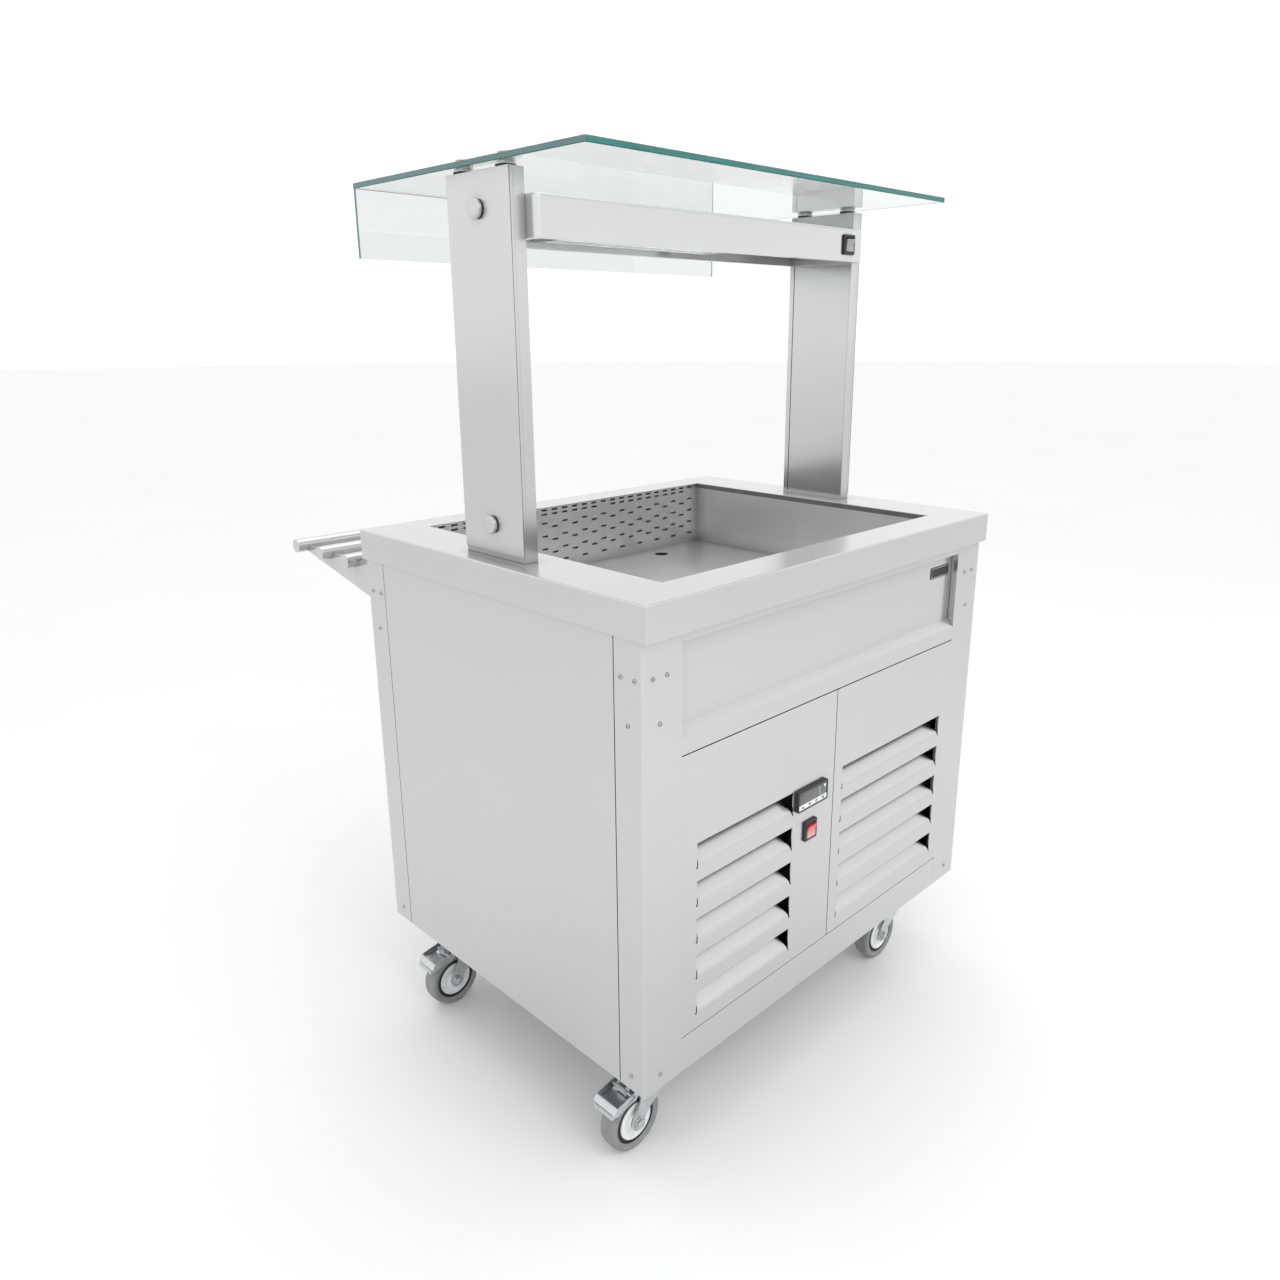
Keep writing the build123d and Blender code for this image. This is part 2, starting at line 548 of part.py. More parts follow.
with BuildPart() as drain_pipe:
    with BuildLine():
        FilletPolyline((*DRAIN, WELL_FLOOR - SHEET), (*DRAIN, DRAIN_OFFSET_Z[0]),
                       (*DRAIN_OUTLET, DRAIN_OFFSET_Z[1]), (*DRAIN_OUTLET, BODY_BOTTOM - DRAIN_STUB),
                       radius=DRAIN_BEND)
    with BuildSketch(Plane.XY.offset(WELL_FLOOR - SHEET)):
        with Locations(DRAIN):
            Circle(DRAIN_PIPE_D / 2)
            Circle(DRAIN_PIPE_D / 2 - DRAIN_WALL, mode=Mode.SUBTRACT)
    sweep()
save(drain_pipe.part, "drain_pipe")

# ---------------------------------------------------------------- refrigeration
EVAP_FAN = (-373.0, 40.0, 832.0)
FAN_SHAFT_D = 4.0


def fan(centre, radius, hub_radius, width, shaft_d, blades, pitch):
    """Axial fan along Y: bored hub and flat pitched blades."""
    x, y, z = centre
    hub_plane = Plane(origin=centre, x_dir=(1, 0, 0), z_dir=(0, 1, 0))
    with BuildPart() as piece:
        with BuildSketch(hub_plane):
            Circle(hub_radius)
            Circle(shaft_d / 2 + CLEARANCE, mode=Mode.SUBTRACT)
        extrude(amount=width / 2, both=True)
        blade_length = radius - hub_radius + 1
        with Locations(hub_plane):
            with PolarLocations(hub_radius - 1 + blade_length / 2, blades):
                with Locations(Location((0, 0, 0), (pitch, 0, 0))):
                    Box(blade_length, width * 1.6, SHEET)
    return piece.part


COIL_TUBE_D = 9.0
EVAP_COIL = ((-402.0, -357.0), (-380.0, -90.0), (784.0, 876.0))
EVAP_TUBE_XS = (-391.0, -368.0)
EVAP_TUBE_YS = (-390.0, -80.0)
EVAP_TUBE_ZS = [796.0 + row * 22.0 for row in range(4)]
EVAP_BRACKET = ((-402.0, -344.0), (65.0, 67.0), (WELL_FLOOR, 870.0))
EVAP_MOTOR = (34.0, 65.0, 101.0)         # diameter, then its two ends along Y
EVAP_SHAFT_YS = (20.0, 70.0)

with BuildPart() as evaporator_unit:
    block(*EVAP_COIL)
    for x in EVAP_TUBE_XS:
        for z in EVAP_TUBE_ZS:
            rod_y((x, z), COIL_TUBE_D, EVAP_TUBE_YS)
    block(*EVAP_BRACKET)
    rod_y((EVAP_FAN[0], EVAP_FAN[2]), EVAP_MOTOR[0], EVAP_MOTOR[1:])
    rod_y((EVAP_FAN[0], EVAP_FAN[2]), FAN_SHAFT_D, EVAP_SHAFT_YS)
save(evaporator_unit.part, "evaporator_unit")
save(fan(EVAP_FAN, radius=27, hub_radius=10, width=12, shaft_d=FAN_SHAFT_D, blades=5, pitch=25),
     "evaporator_fan")

COMPRESSOR = (-190.0, -20.0)
SHELL_RADII = (88.0, 72.0)
SHELL_HEIGHT = 165.0
SHELL_ROUND = 40.0
SOLE_HALF = (110.0, 70.0)    # compressor's base plate
SOLE_THICK = 4.0
FOOT_AT = (98.0, 58.0)       # rubber feet from the compressor's centre
FOOT_D = 20.0
FOOT_HEIGHT = 8.0
STUB_D = 10.0                # suction stub on top of the shell
STUB_X = 60.0
STUB_Z = (155.0, 195.0)
TERMINAL_X = (-112.0, -80.0)
TERMINAL_HALF = 30.0
TERMINAL_Z = (50.0, 110.0)
FLOOR_Z = BODY_BOTTOM + SHEET

with BuildPart() as compressor:
    sole_z = FLOOR_Z + FOOT_HEIGHT
    with BuildSketch(Plane.XY.offset(sole_z + SOLE_THICK)):
        with Locations(COMPRESSOR):
            Ellipse(*SHELL_RADII)
    extrude(amount=SHELL_HEIGHT)
    fillet(compressor.faces().sort_by(Axis.Z)[-1].edges(), SHELL_ROUND)
    cx, cy = COMPRESSOR
    block((cx - SOLE_HALF[0], cx + SOLE_HALF[0]), (cy - SOLE_HALF[1], cy + SOLE_HALF[1]),
          (sole_z, sole_z + SOLE_THICK))
    for foot_x in (cx - FOOT_AT[0], cx + FOOT_AT[0]):
        for foot_y in (cy - FOOT_AT[1], cy + FOOT_AT[1]):
            disc((foot_x, foot_y, FLOOR_Z + FOOT_HEIGHT / 2), FOOT_D / 2, FOOT_HEIGHT)
    disc((cx + STUB_X, cy, FLOOR_Z + sum(STUB_Z) / 2), STUB_D / 2, STUB_Z[1] - STUB_Z[0])
    block((cx + TERMINAL_X[0], cx + TERMINAL_X[1]), (cy - TERMINAL_HALF, cy + TERMINAL_HALF),
          (FLOOR_Z + TERMINAL_Z[0], FLOOR_Z + TERMINAL_Z[1]))
save(compressor.part, "compressor")

CONDENSER_FAN = (190.0, -335.0, 320.0)
CONDENSER_SHAFT_D = 8.0
COIL_HALF = 150.0
COIL_YS = (-420.0, -370.0)
COIL_Z = (FLOOR_Z + 10.0, 460.0)
COIL_TUBE_Y = -395.0
COIL_TUBE_PAST = 12.0        # bends past each end of the fins
COIL_TUBE_ZS = [200.0 + row * 32.0 for row in range(8)]
LEG_AT = 120.0
LEG_HALF = 15.0
LEG_YS = (-415.0, -375.0)
SHROUD_BACK = -322.0
SHROUD_WALL = 2.0
SHROUD_MOUTH_D = 244.0
BAR_YS = (-312.0, -308.0)    # flat bar that carries the motor behind the shroud
BAR_HALF = 10.0
BAR_END = 6.0
CONDENSER_MOTOR = (70.0, -312.0, -268.0)  # diameter, then its two ends along Y
CONDENSER_SHAFT_YS = (-350.0, -300.0)

fan_x, _, fan_z = CONDENSER_FAN
coil_x = (fan_x - COIL_HALF, fan_x + COIL_HALF)
with BuildPart() as condenser_coil:
    block(coil_x, COIL_YS, COIL_Z)
    for z in COIL_TUBE_ZS:
        disc((fan_x, COIL_TUBE_Y, z), COIL_TUBE_D / 2, 2 * (COIL_HALF + COIL_TUBE_PAST), "X")
    for leg in (fan_x - LEG_AT, fan_x + LEG_AT):
        block((leg - LEG_HALF, leg + LEG_HALF), LEG_YS, (FLOOR_Z, COIL_Z[0]))
with BuildPart() as condenser_shroud:
    block(coil_x, (COIL_YS[1], SHROUD_BACK), COIL_Z)
    block((coil_x[0] + SHROUD_WALL, coil_x[1] - SHROUD_WALL), (COIL_YS[1] - 1, SHROUD_BACK - SHROUD_WALL),
          (COIL_Z[0] + SHROUD_WALL, COIL_Z[1] - SHROUD_WALL), Mode.SUBTRACT)
    disc((fan_x, SHROUD_BACK, fan_z), SHROUD_MOUTH_D / 2, 5 * SHROUD_WALL, "Y", Mode.SUBTRACT)
    bar_z = (fan_z - BAR_HALF, fan_z + BAR_HALF)
    block(coil_x, BAR_YS, bar_z)
    for side in ((coil_x[0], coil_x[0] + BAR_END), (coil_x[1] - BAR_END, coil_x[1])):
        block(side, (SHROUD_BACK - SHROUD_WALL, BAR_YS[1]), bar_z)
    rod_y((fan_x, fan_z), CONDENSER_MOTOR[0], CONDENSER_MOTOR[1:])
    rod_y((fan_x, fan_z), CONDENSER_SHAFT_D, CONDENSER_SHAFT_YS)
save(Compound(children=[condenser_coil.part, condenser_shroud.part]), "condenser")
save(fan(CONDENSER_FAN, radius=112, hub_radius=26, width=18, shaft_d=CONDENSER_SHAFT_D, blades=5, pitch=24),
     "condenser_fan")

# ---------------------------------------------------------------- gantry
POST_OUTER = 402.0
POST_INNER = 376.0
POST_FRONT = FRONT + 281.0
POST_BACK = FRONT + 422.0
POST_MID = (POST_FRONT + POST_BACK) / 2
COVER = 2.0
COVER_FOOT = 8.0             # bare foot of the channel under its outer cover
REVEAL = 1.5
BACK_FLANGE = 10.0
POST_SHEET = 2.0
COVER_RAISED = 3.0           # inner cover's gap above the worktop
CAP_HEIGHTS = (WORKTOP_HEIGHT + 49, POST_TOP - 48)
CAP_D = 26.0
CAP_THICK = 8.0


def post_channel(sx):
    """Closed post with a recess for the inner cover and a blind pocket under the outer one."""
    def x_span(a, b):
        return tuple(sorted((sx * a, sx * b)))

    with BuildPart() as piece:
        block(x_span(POST_INNER, POST_OUTER - COVER), (POST_FRONT, POST_BACK), (WORKTOP_HEIGHT, POST_TOP))
        block(x_span(POST_INNER + COVER + POST_SHEET, POST_OUTER - COVER - POST_SHEET),
              (POST_FRONT + POST_SHEET, POST_BACK - POST_SHEET),
              (WORKTOP_HEIGHT - 1, POST_TOP - POST_SHEET), Mode.SUBTRACT)
        block(x_span(POST_INNER - 1, POST_INNER + COVER), (POST_FRONT + POST_SHEET, POST_BACK - BACK_FLANGE),
              (WORKTOP_HEIGHT + COVER_RAISED, POST_TOP + 1), Mode.SUBTRACT)
    return piece.part


for side, sx in (("left", -1), ("right", 1)):
    save(post_channel(sx), f"post_channel_{side}")

with BuildPart() as post_outer_covers:
    for x in across(POST_OUTER - COVER, POST_OUTER):
        block(x, (POST_FRONT, POST_BACK), (WORKTOP_HEIGHT + COVER_FOOT, POST_TOP))
save(post_outer_covers.part, "post_outer_covers")

with BuildPart() as post_inner_covers:
    for x in across(POST_INNER, POST_INNER + COVER):
        block(x, (POST_FRONT + POST_SHEET, POST_BACK - BACK_FLANGE - REVEAL),
              (WORKTOP_HEIGHT + COVER_RAISED, POST_TOP))
save(post_inner_covers.part, "post_inner_covers")

with BuildPart() as post_cap_nuts:
    for x in (-POST_OUTER - CAP_THICK / 2, POST_OUTER + CAP_THICK / 2):
        for z in CAP_HEIGHTS:
            disc((x, POST_MID, z), CAP_D / 2, CAP_THICK, "X")
    fillet(post_cap_nuts.faces().filter_by(Axis.X).filter_by(
        lambda face: abs(face.center().X) > POST_OUTER + 1).edges(), 2.5)
save(post_cap_nuts.part, "post_cap_nuts")

CANOPY_FRONT = FRONT + 256.0
CANOPY_BACK = POST_BACK
CANOPY_HALF = POST_INNER
CANOPY_Z = (WORKTOP_HEIGHT + 438, WORKTOP_HEIGHT + 494)
CANOPY_CORNER = 12.0
CANOPY_RECESS = 16.0
CANOPY_LIP = 14.0
CANOPY_TOP_FOLD = 5.0
LAMP_X = (-300.0, 60.0)
LAMP_HALF = 40.0
LAMP_RECESSED = 4.0
LIGHT_SWITCH = (326.0, 1366.0)

with BuildPart() as light_canopy:
    block((-CANOPY_HALF, CANOPY_HALF), (CANOPY_FRONT, CANOPY_BACK), CANOPY_Z)
    fillet(light_canopy.edges().filter_by(Axis.Z).group_by(Axis.Y)[0], CANOPY_CORNER)
    fillet(light_canopy.faces().sort_by(Axis.Z)[-1].edges().group_by(Axis.Y)[0], CANOPY_TOP_FOLD)
    inside = (CANOPY_FRONT + SHEET, CANOPY_BACK - SHEET)
    block((-CANOPY_HALF + SHEET, CANOPY_HALF - SHEET), (inside[0] + CANOPY_LIP, inside[1]),
          (CANOPY_Z[0] + CANOPY_RECESS + SHEET, CANOPY_Z[1] - SHEET), Mode.SUBTRACT)
    block((-CANOPY_HALF + CANOPY_LIP, CANOPY_HALF - CANOPY_LIP),
          (CANOPY_FRONT + CANOPY_LIP, CANOPY_BACK - CANOPY_LIP),
          (CANOPY_Z[0] - 1, CANOPY_Z[0] + CANOPY_RECESS), Mode.SUBTRACT)
    block((LIGHT_SWITCH[0] - SWITCH_CUTOUT[0] / 2, LIGHT_SWITCH[0] + SWITCH_CUTOUT[0] / 2),
          (CANOPY_FRONT - 1, CANOPY_FRONT + 30),
          (LIGHT_SWITCH[1] - SWITCH_CUTOUT[1] / 2, LIGHT_SWITCH[1] + SWITCH_CUTOUT[1] / 2), Mode.SUBTRACT)
save(light_canopy.part, "light_canopy")

with BuildPart() as canopy_light:
    lamp_y = (CANOPY_FRONT + CANOPY_BACK) / 2
    block(LAMP_X, (lamp_y - LAMP_HALF, lamp_y + LAMP_HALF),
          (CANOPY_Z[0] + LAMP_RECESSED, CANOPY_Z[0] + CANOPY_RECESS))
    fillet(canopy_light.faces().sort_by(Axis.Z)[0].edges(), LAMP_RECESSED)
save(canopy_light.part, "canopy_light")

# ---------------------------------------------------------------- glass and its fixings
GLASS_HALF = 412.0
GLASS_FRONT_EDGE = FRONT + 118.0
GLASS_BACK_EDGE = FRONT + 662.0
PAD_THICK = 5.0
GLASS_UNDER = POST_TOP + PAD_THICK
GLASS_DROP = 101.0
FIXING_X = (POST_INNER + POST_OUTER) / 2 - 1
FIXING_YS = (POST_MID - 48, POST_MID + 48)
FIXINGS = [(x, y) for x in (-FIXING_X, FIXING_X) for y in FIXING_YS]
STUD_HOLE_D = 8.0
GLASS_CORNER = 5.0
GLASS_ARRIS = 0.8
PAD_D = 22.0
FIXING_BOLT_D = 6.0
FIXING_BOLT = 9.0            # half the bolt's length
BOLT_FIT = 0.1               # radial, bolt to pad
CAP_HEAD_D = 20.0
CAP_HEAD = 6.0
CAP_ROUND = 1.5

with BuildPart() as glass_top:
    block((-GLASS_HALF, GLASS_HALF), (GLASS_FRONT_EDGE, GLASS_BACK_EDGE),
          (GLASS_UNDER, GLASS_UNDER + GLASS_THICK))
    fillet(glass_top.edges().filter_by(Axis.Z), GLASS_CORNER)
    chamfer(glass_top.faces().filter_by(Axis.Z).edges(), GLASS_ARRIS)
    for x, y in FIXINGS:
        disc((x, y, GLASS_UNDER), STUD_HOLE_D / 2, 40, mode=Mode.SUBTRACT)
save(glass_top.part, "glass_top")

with BuildPart() as glass_front:
    block((-GLASS_HALF + 2, GLASS_HALF - 2), (GLASS_BACK_EDGE - GLASS_THICK + 1, GLASS_BACK_EDGE - 1),
          (GLASS_UNDER - GLASS_DROP, GLASS_UNDER))
    chamfer(glass_front.faces().sort_by(Axis.Z)[0].edges(), GLASS_ARRIS)
save(glass_front.part, "glass_front")

with BuildPart() as glass_pads:
    for x, y in FIXINGS:
        disc((x, y, POST_TOP + PAD_THICK / 2), PAD_D / 2, PAD_THICK)
        disc((x, y, POST_TOP + PAD_THICK / 2), FIXING_BOLT_D / 2 + BOLT_FIT, 4 * PAD_THICK,
             mode=Mode.SUBTRACT)
save(glass_pads.part, "glass_pads")

with BuildPart() as glass_caps:
    for x, y in FIXINGS:
        disc((x, y, GLASS_UNDER + GLASS_THICK + CAP_HEAD / 2), CAP_HEAD_D / 2, CAP_HEAD)
        disc((x, y, POST_TOP + FIXING_BOLT), FIXING_BOLT_D / 2, 2 * FIXING_BOLT)
    fillet(glass_caps.edges().filter_by(GeomType.CIRCLE).group_by(Axis.Z)[-1], CAP_ROUND)
save(glass_caps.part, "glass_caps")

# ---------------------------------------------------------------- switches and controller
FRAME_SIZE = (32.0, 34.0)
FRAME_PROUD = 4.0
HOUSING_DEPTH = 18.0
ROCKER_SIZE = (21.0, 24.0)
ROCKER_TILT = 7.0            # each way from the middle
ROCKER_GAP = 0.6
ROCKER_PIN_D = 3.0
PIVOT_IN = 2.0               # pin behind the panel's face
ROCKER_CREST = -7.0          # rocker's profile, outwards from the pin
ROCKER_LIP = -8.6
ROCKER_WAIST = 4.0
ROCKER_HEEL = 8.0


def switch_frame(x, face, z):
    """Rocker switch frame with its open housing behind the panel."""
    with BuildPart() as piece:
        block((x - FRAME_SIZE[0] / 2, x + FRAME_SIZE[0] / 2), (face - FRAME_PROUD, face),
              (z - FRAME_SIZE[1] / 2, z + FRAME_SIZE[1] / 2))
        fillet(piece.edges().filter_by(Axis.Y), 2.5)
        fillet(piece.faces().sort_by(Axis.Y)[0].edges(), 1.2)
        block((x - SWITCH_CUTOUT[0] / 2 + 0.2, x + SWITCH_CUTOUT[0] / 2 - 0.2),
              (face, face + HOUSING_DEPTH),
              (z - SWITCH_CUTOUT[1] / 2 + 0.2, z + SWITCH_CUTOUT[1] / 2 - 0.2))
        half_x = ROCKER_SIZE[0] / 2 + ROCKER_GAP
        half_z = ROCKER_SIZE[1] / 2 + ROCKER_GAP
        block((x - half_x, x + half_x), (face - FRAME_PROUD - 1, face + HOUSING_DEPTH - 2),
              (z - half_z, z + half_z), Mode.SUBTRACT)
        disc((x, face + PIVOT_IN, z), ROCKER_PIN_D / 2, 2 * half_x + 4, "X")
    return piece.part


def switch_rocker(x, face, z):
    """Two-faced rocker on its pin, resting with the lower half pressed in."""
    pivot = (x, face + PIVOT_IN, z)
    half = ROCKER_SIZE[1] / 2 - 1.2
    with BuildPart() as piece:
        with BuildSketch(Plane(origin=(x - ROCKER_SIZE[0] / 2, face + PIVOT_IN, z), x_dir=(0, 1, 0),
                               z_dir=(1, 0, 0))):
            with BuildLine():
                Polyline((ROCKER_CREST, 0), (ROCKER_LIP, half), (ROCKER_WAIST, half * 0.8),
                         (ROCKER_HEEL, 0), (ROCKER_WAIST, -half * 0.8), (ROCKER_LIP, -half), close=True)
            make_face()
        extrude(amount=ROCKER_SIZE[0])
        disc(pivot, ROCKER_PIN_D / 2 + CLEARANCE, 3 * ROCKER_SIZE[0], "X", Mode.SUBTRACT)
    return piece.part.rotate(Axis(pivot, (1, 0, 0)), ROCKER_TILT)


switches = {
    "power_switch": (POWER_SWITCH[0], BODY_FRONT, POWER_SWITCH[1]),
    "light_switch": (LIGHT_SWITCH[0], CANOPY_FRONT, LIGHT_SWITCH[1]),
}
save(Compound(children=[switch_frame(*place) for place in switches.values()]), "switch_frames")
for name, place in switches.items():
    save(switch_rocker(*place), f"{name}_rocker")

BEZEL = (78.0, 35.0)
BEZEL_PROUD = 6.0
BEZEL_RIM = 2.5
HOUSING_FIT = 0.2            # housings are this much smaller than their cut-outs, each side
CASE_DEPTH = 55.0
BUTTON = (14.0, 6.5)
BUTTON_STEP = 17.5
BUTTON_DROP = 10.5           # button row below the controller's centre
BUTTON_TRAVEL = 0.8
BUTTON_GAP = 0.25
BUTTON_DEPTH = 4.0
cx, cz = CONTROLLER
button_face = BODY_FRONT - BEZEL_PROUD + 0.6
button_spots = [(cx + (number - 1.5) * BUTTON_STEP, cz - BUTTON_DROP) for number in range(4)]

with BuildPart() as controller_body:
    block((cx - BEZEL[0] / 2, cx + BEZEL[0] / 2), (BODY_FRONT - BEZEL_PROUD, BODY_FRONT),
          (cz - BEZEL[1] / 2, cz + BEZEL[1] / 2))
    fillet(controller_body.edges().filter_by(Axis.Y), 3)
    fillet(controller_body.faces().sort_by(Axis.Y)[0].edges(), 1)
    block((cx - BEZEL[0] / 2 + BEZEL_RIM, cx + BEZEL[0] / 2 - BEZEL_RIM),
          (BODY_FRONT - BEZEL_PROUD - 1, BODY_FRONT - BEZEL_PROUD + 1),
          (cz - BEZEL[1] / 2 + BEZEL_RIM, cz + BEZEL[1] / 2 - BEZEL_RIM), Mode.SUBTRACT)
    half_x, half_z = (size / 2 - HOUSING_FIT for size in CONTROLLER_CUTOUT)
    block((cx - half_x, cx + half_x), (BODY_FRONT, BODY_FRONT + CASE_DEPTH), (cz - half_z, cz + half_z))
    for bx, bz in button_spots:
        block((bx - BUTTON[0] / 2 - BUTTON_GAP, bx + BUTTON[0] / 2 + BUTTON_GAP),
              (BODY_FRONT - BEZEL_PROUD, button_face + BUTTON_DEPTH + BUTTON_TRAVEL + 0.2),
              (bz - BUTTON[1] / 2 - BUTTON_GAP, bz + BUTTON[1] / 2 + BUTTON_GAP), Mode.SUBTRACT)
save(controller_body.part, "controller_body")

for number, (bx, bz) in enumerate(button_spots, start=1):
    with BuildPart() as button:
        block((bx - BUTTON[0] / 2, bx + BUTTON[0] / 2), (button_face, button_face + BUTTON_DEPTH),
              (bz - BUTTON[1] / 2, bz + BUTTON[1] / 2))
        fillet(button.edges().filter_by(Axis.Y), 1)
    save(button.part, f"controller_button_{number}")

# ---------------------------------------------------------------- tray slide
TUBE_D = 25.0
TUBE_WALL = 1.5
TUBE_Z = LIP_BOTTOM - 16.0
TUBE_STEP = 92.5
TUBE_YS = [BACK + TRAY_REACH - TUBE_D / 2 - number * TUBE_STEP for number in range(3)]
PLUG = 2.0
PLUG_IN = 10.0               # spigot of each end plug inside its tube
BRACKET_X = 415.0
BRACKET_THICK = 3.0
BRACKET_TOP = LIP_BOTTOM - 4.0
FLANGE = 33.0                # bracket's flange on the back panel
BRACKET_BOLT_D = 12.0
BRACKET_BOLT_HEAD = 4.0

tubes = []
for y in TUBE_YS:
    with BuildPart() as tube:
        disc((0, y, TUBE_Z), TUBE_D / 2, LENGTH - 2 * PLUG, "X")
        disc((0, y, TUBE_Z), TUBE_D / 2 - TUBE_WALL, LENGTH, "X", Mode.SUBTRACT)
    tubes.append(tube.part)
    for sx in (-1, 1):
        with BuildPart() as plug:
            disc((sx * (HALF - PLUG / 2), y, TUBE_Z), TUBE_D / 2, PLUG, "X")
            disc((sx * (HALF - PLUG - PLUG_IN / 2), y, TUBE_Z), TUBE_D / 2 - TUBE_WALL, PLUG_IN, "X")
        tubes.append(plug.part)
save(Compound(children=tubes), "tray_tubes")

with BuildPart() as tray_brackets:
    for x in (-BRACKET_X, BRACKET_X - BRACKET_THICK):
        with BuildSketch(Plane.YZ.offset(x)):
            with BuildLine():
                Polyline((BODY_BACK, BRACKET_TOP), (BODY_BACK, BRACKET_LOW),
                         (TUBE_YS[0] - 18, TUBE_Z - 14), (TUBE_YS[0] + 8, TUBE_Z - 8),
                         (TUBE_YS[0] + 8, TUBE_Z), (TUBE_YS[2] - 26, TUBE_Z),
                         (TUBE_YS[2] - 34, BRACKET_TOP), close=True)
            make_face()
            with Locations(*((y, TUBE_Z) for y in TUBE_YS)):
                Circle(TUBE_D / 2 + CLEARANCE, mode=Mode.SUBTRACT)
        extrude(amount=BRACKET_THICK)
    for x in across(BRACKET_X - 1 - FLANGE, BRACKET_X - 1):
        block(x, (BODY_BACK, BODY_BACK + BRACKET_THICK), (BRACKET_LOW, BRACKET_TOP))
        head_y = (BODY_BACK + BRACKET_THICK, BODY_BACK + BRACKET_THICK + BRACKET_BOLT_HEAD)
        for z in (BRACKET_LOW + 16, BRACKET_TOP - 20):
            rod_y((sum(x) / 2, z), BRACKET_BOLT_D, head_y)
save(tray_brackets.part, "tray_brackets")

GLAND_FLANGE = (24.0, 6.0)   # diameter and length of each stretch
GLAND_DOME = (18.0, 18.0)
GLAND_NUT = (22.0, 5.0)
GLAND_THREAD = 10.0
GLAND_FIT = 0.1              # radial, thread to the panel's hole

with BuildPart() as cable_gland:
    for diameter, length in (GLAND_FLANGE, GLAND_DOME):
        rod_y(GLAND, diameter, (BODY_BACK, BODY_BACK + length))
    rod_y(GLAND, GLAND_THREAD_D - 2 * GLAND_FIT, (BODY_BACK - GLAND_THREAD, BODY_BACK))
    rod_y(GLAND, GLAND_NUT[0], (BODY_BACK - SHEET - GLAND_NUT[1], BODY_BACK - SHEET))
    disc((GLAND[0], BODY_BACK, GLAND[1]), GLAND_BORE_D / 2, 4 * GLAND_DOME[1], "Y", Mode.SUBTRACT)
save(cable_gland.part, "cable_gland")
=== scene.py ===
import math

import bmesh
import bpy
from mathutils import Matrix, Vector


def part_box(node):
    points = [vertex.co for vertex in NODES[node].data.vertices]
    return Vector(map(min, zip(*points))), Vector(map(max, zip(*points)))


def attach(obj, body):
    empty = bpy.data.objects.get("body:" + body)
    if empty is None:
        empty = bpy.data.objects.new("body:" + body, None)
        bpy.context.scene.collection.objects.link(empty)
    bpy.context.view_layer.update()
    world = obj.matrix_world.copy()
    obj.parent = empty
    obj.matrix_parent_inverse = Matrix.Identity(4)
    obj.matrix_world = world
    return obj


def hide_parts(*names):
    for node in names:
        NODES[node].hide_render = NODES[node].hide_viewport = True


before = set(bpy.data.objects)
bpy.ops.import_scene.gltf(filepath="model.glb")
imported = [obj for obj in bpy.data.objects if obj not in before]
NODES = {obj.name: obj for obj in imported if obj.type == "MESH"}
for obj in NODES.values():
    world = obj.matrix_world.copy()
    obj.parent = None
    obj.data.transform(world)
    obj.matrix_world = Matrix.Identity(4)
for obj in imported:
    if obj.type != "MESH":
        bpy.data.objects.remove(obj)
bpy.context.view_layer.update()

MM = 0.001


# ---------------------------------------------------------------- camera, light and floor
CAMERA_AT = Vector((-1.2283, -1.2873, 1.2198))
CAMERA_TURN = tuple(math.radians(a) for a in (-44.98, -15.76, -0.23))   # yaw, pitch, roll
SENSOR = 36.0
LENS = 27.52
SHIFT = (-0.0129, -0.0258)


def make_camera():
    """Camera at the viewing angle, with the small shift of the framing."""
    yaw, pitch, roll = CAMERA_TURN
    forward = Vector((-math.sin(yaw) * math.cos(pitch), math.cos(yaw) * math.cos(pitch), math.sin(pitch)))
    level = Vector((math.cos(yaw), math.sin(yaw), 0))
    upright = level.cross(forward)
    right = level * math.cos(roll) + upright * math.sin(roll)
    up = upright * math.cos(roll) - level * math.sin(roll)
    data = bpy.data.cameras.new("camera")
    data.sensor_width = SENSOR
    data.lens = LENS
    data.shift_x, data.shift_y = SHIFT
    data.clip_start, data.clip_end = 0.05, 200
    camera = bpy.data.objects.new("camera", data)
    camera.matrix_world = Matrix((
        (right.x, up.x, -forward.x, CAMERA_AT.x),
        (right.y, up.y, -forward.y, CAMERA_AT.y),
        (right.z, up.z, -forward.z, CAMERA_AT.z),
        (0, 0, 0, 1)))
    bpy.context.scene.collection.objects.link(camera)
    bpy.context.scene.camera = camera


def area_light(name, at, target, size, power, mirrored=True):
    """Soft rectangular lamp that faces a point."""
    data = bpy.data.lights.new(name, "AREA")
    data.shape = "RECTANGLE"
    data.size, data.size_y = size
    data.energy = power
    lamp = bpy.data.objects.new(name, data)
    lamp.location = at
    lamp.rotation_mode = "QUATERNION"
    lamp.rotation_quaternion = (Vector(target) - Vector(at)).to_track_quat("-Z", "Y")
    lamp.visible_glossy = lamp.visible_transmission = mirrored
    bpy.context.scene.collection.objects.link(lamp)


def make_world(strength):
    world = bpy.data.worlds.new("studio")
    world.use_nodes = True
    background = world.node_tree.nodes["Background"]
    background.inputs["Color"].default_value = (1.0, 1.0, 1.0, 1.0)
    background.inputs["Strength"].default_value = strength
    bpy.context.scene.world = world


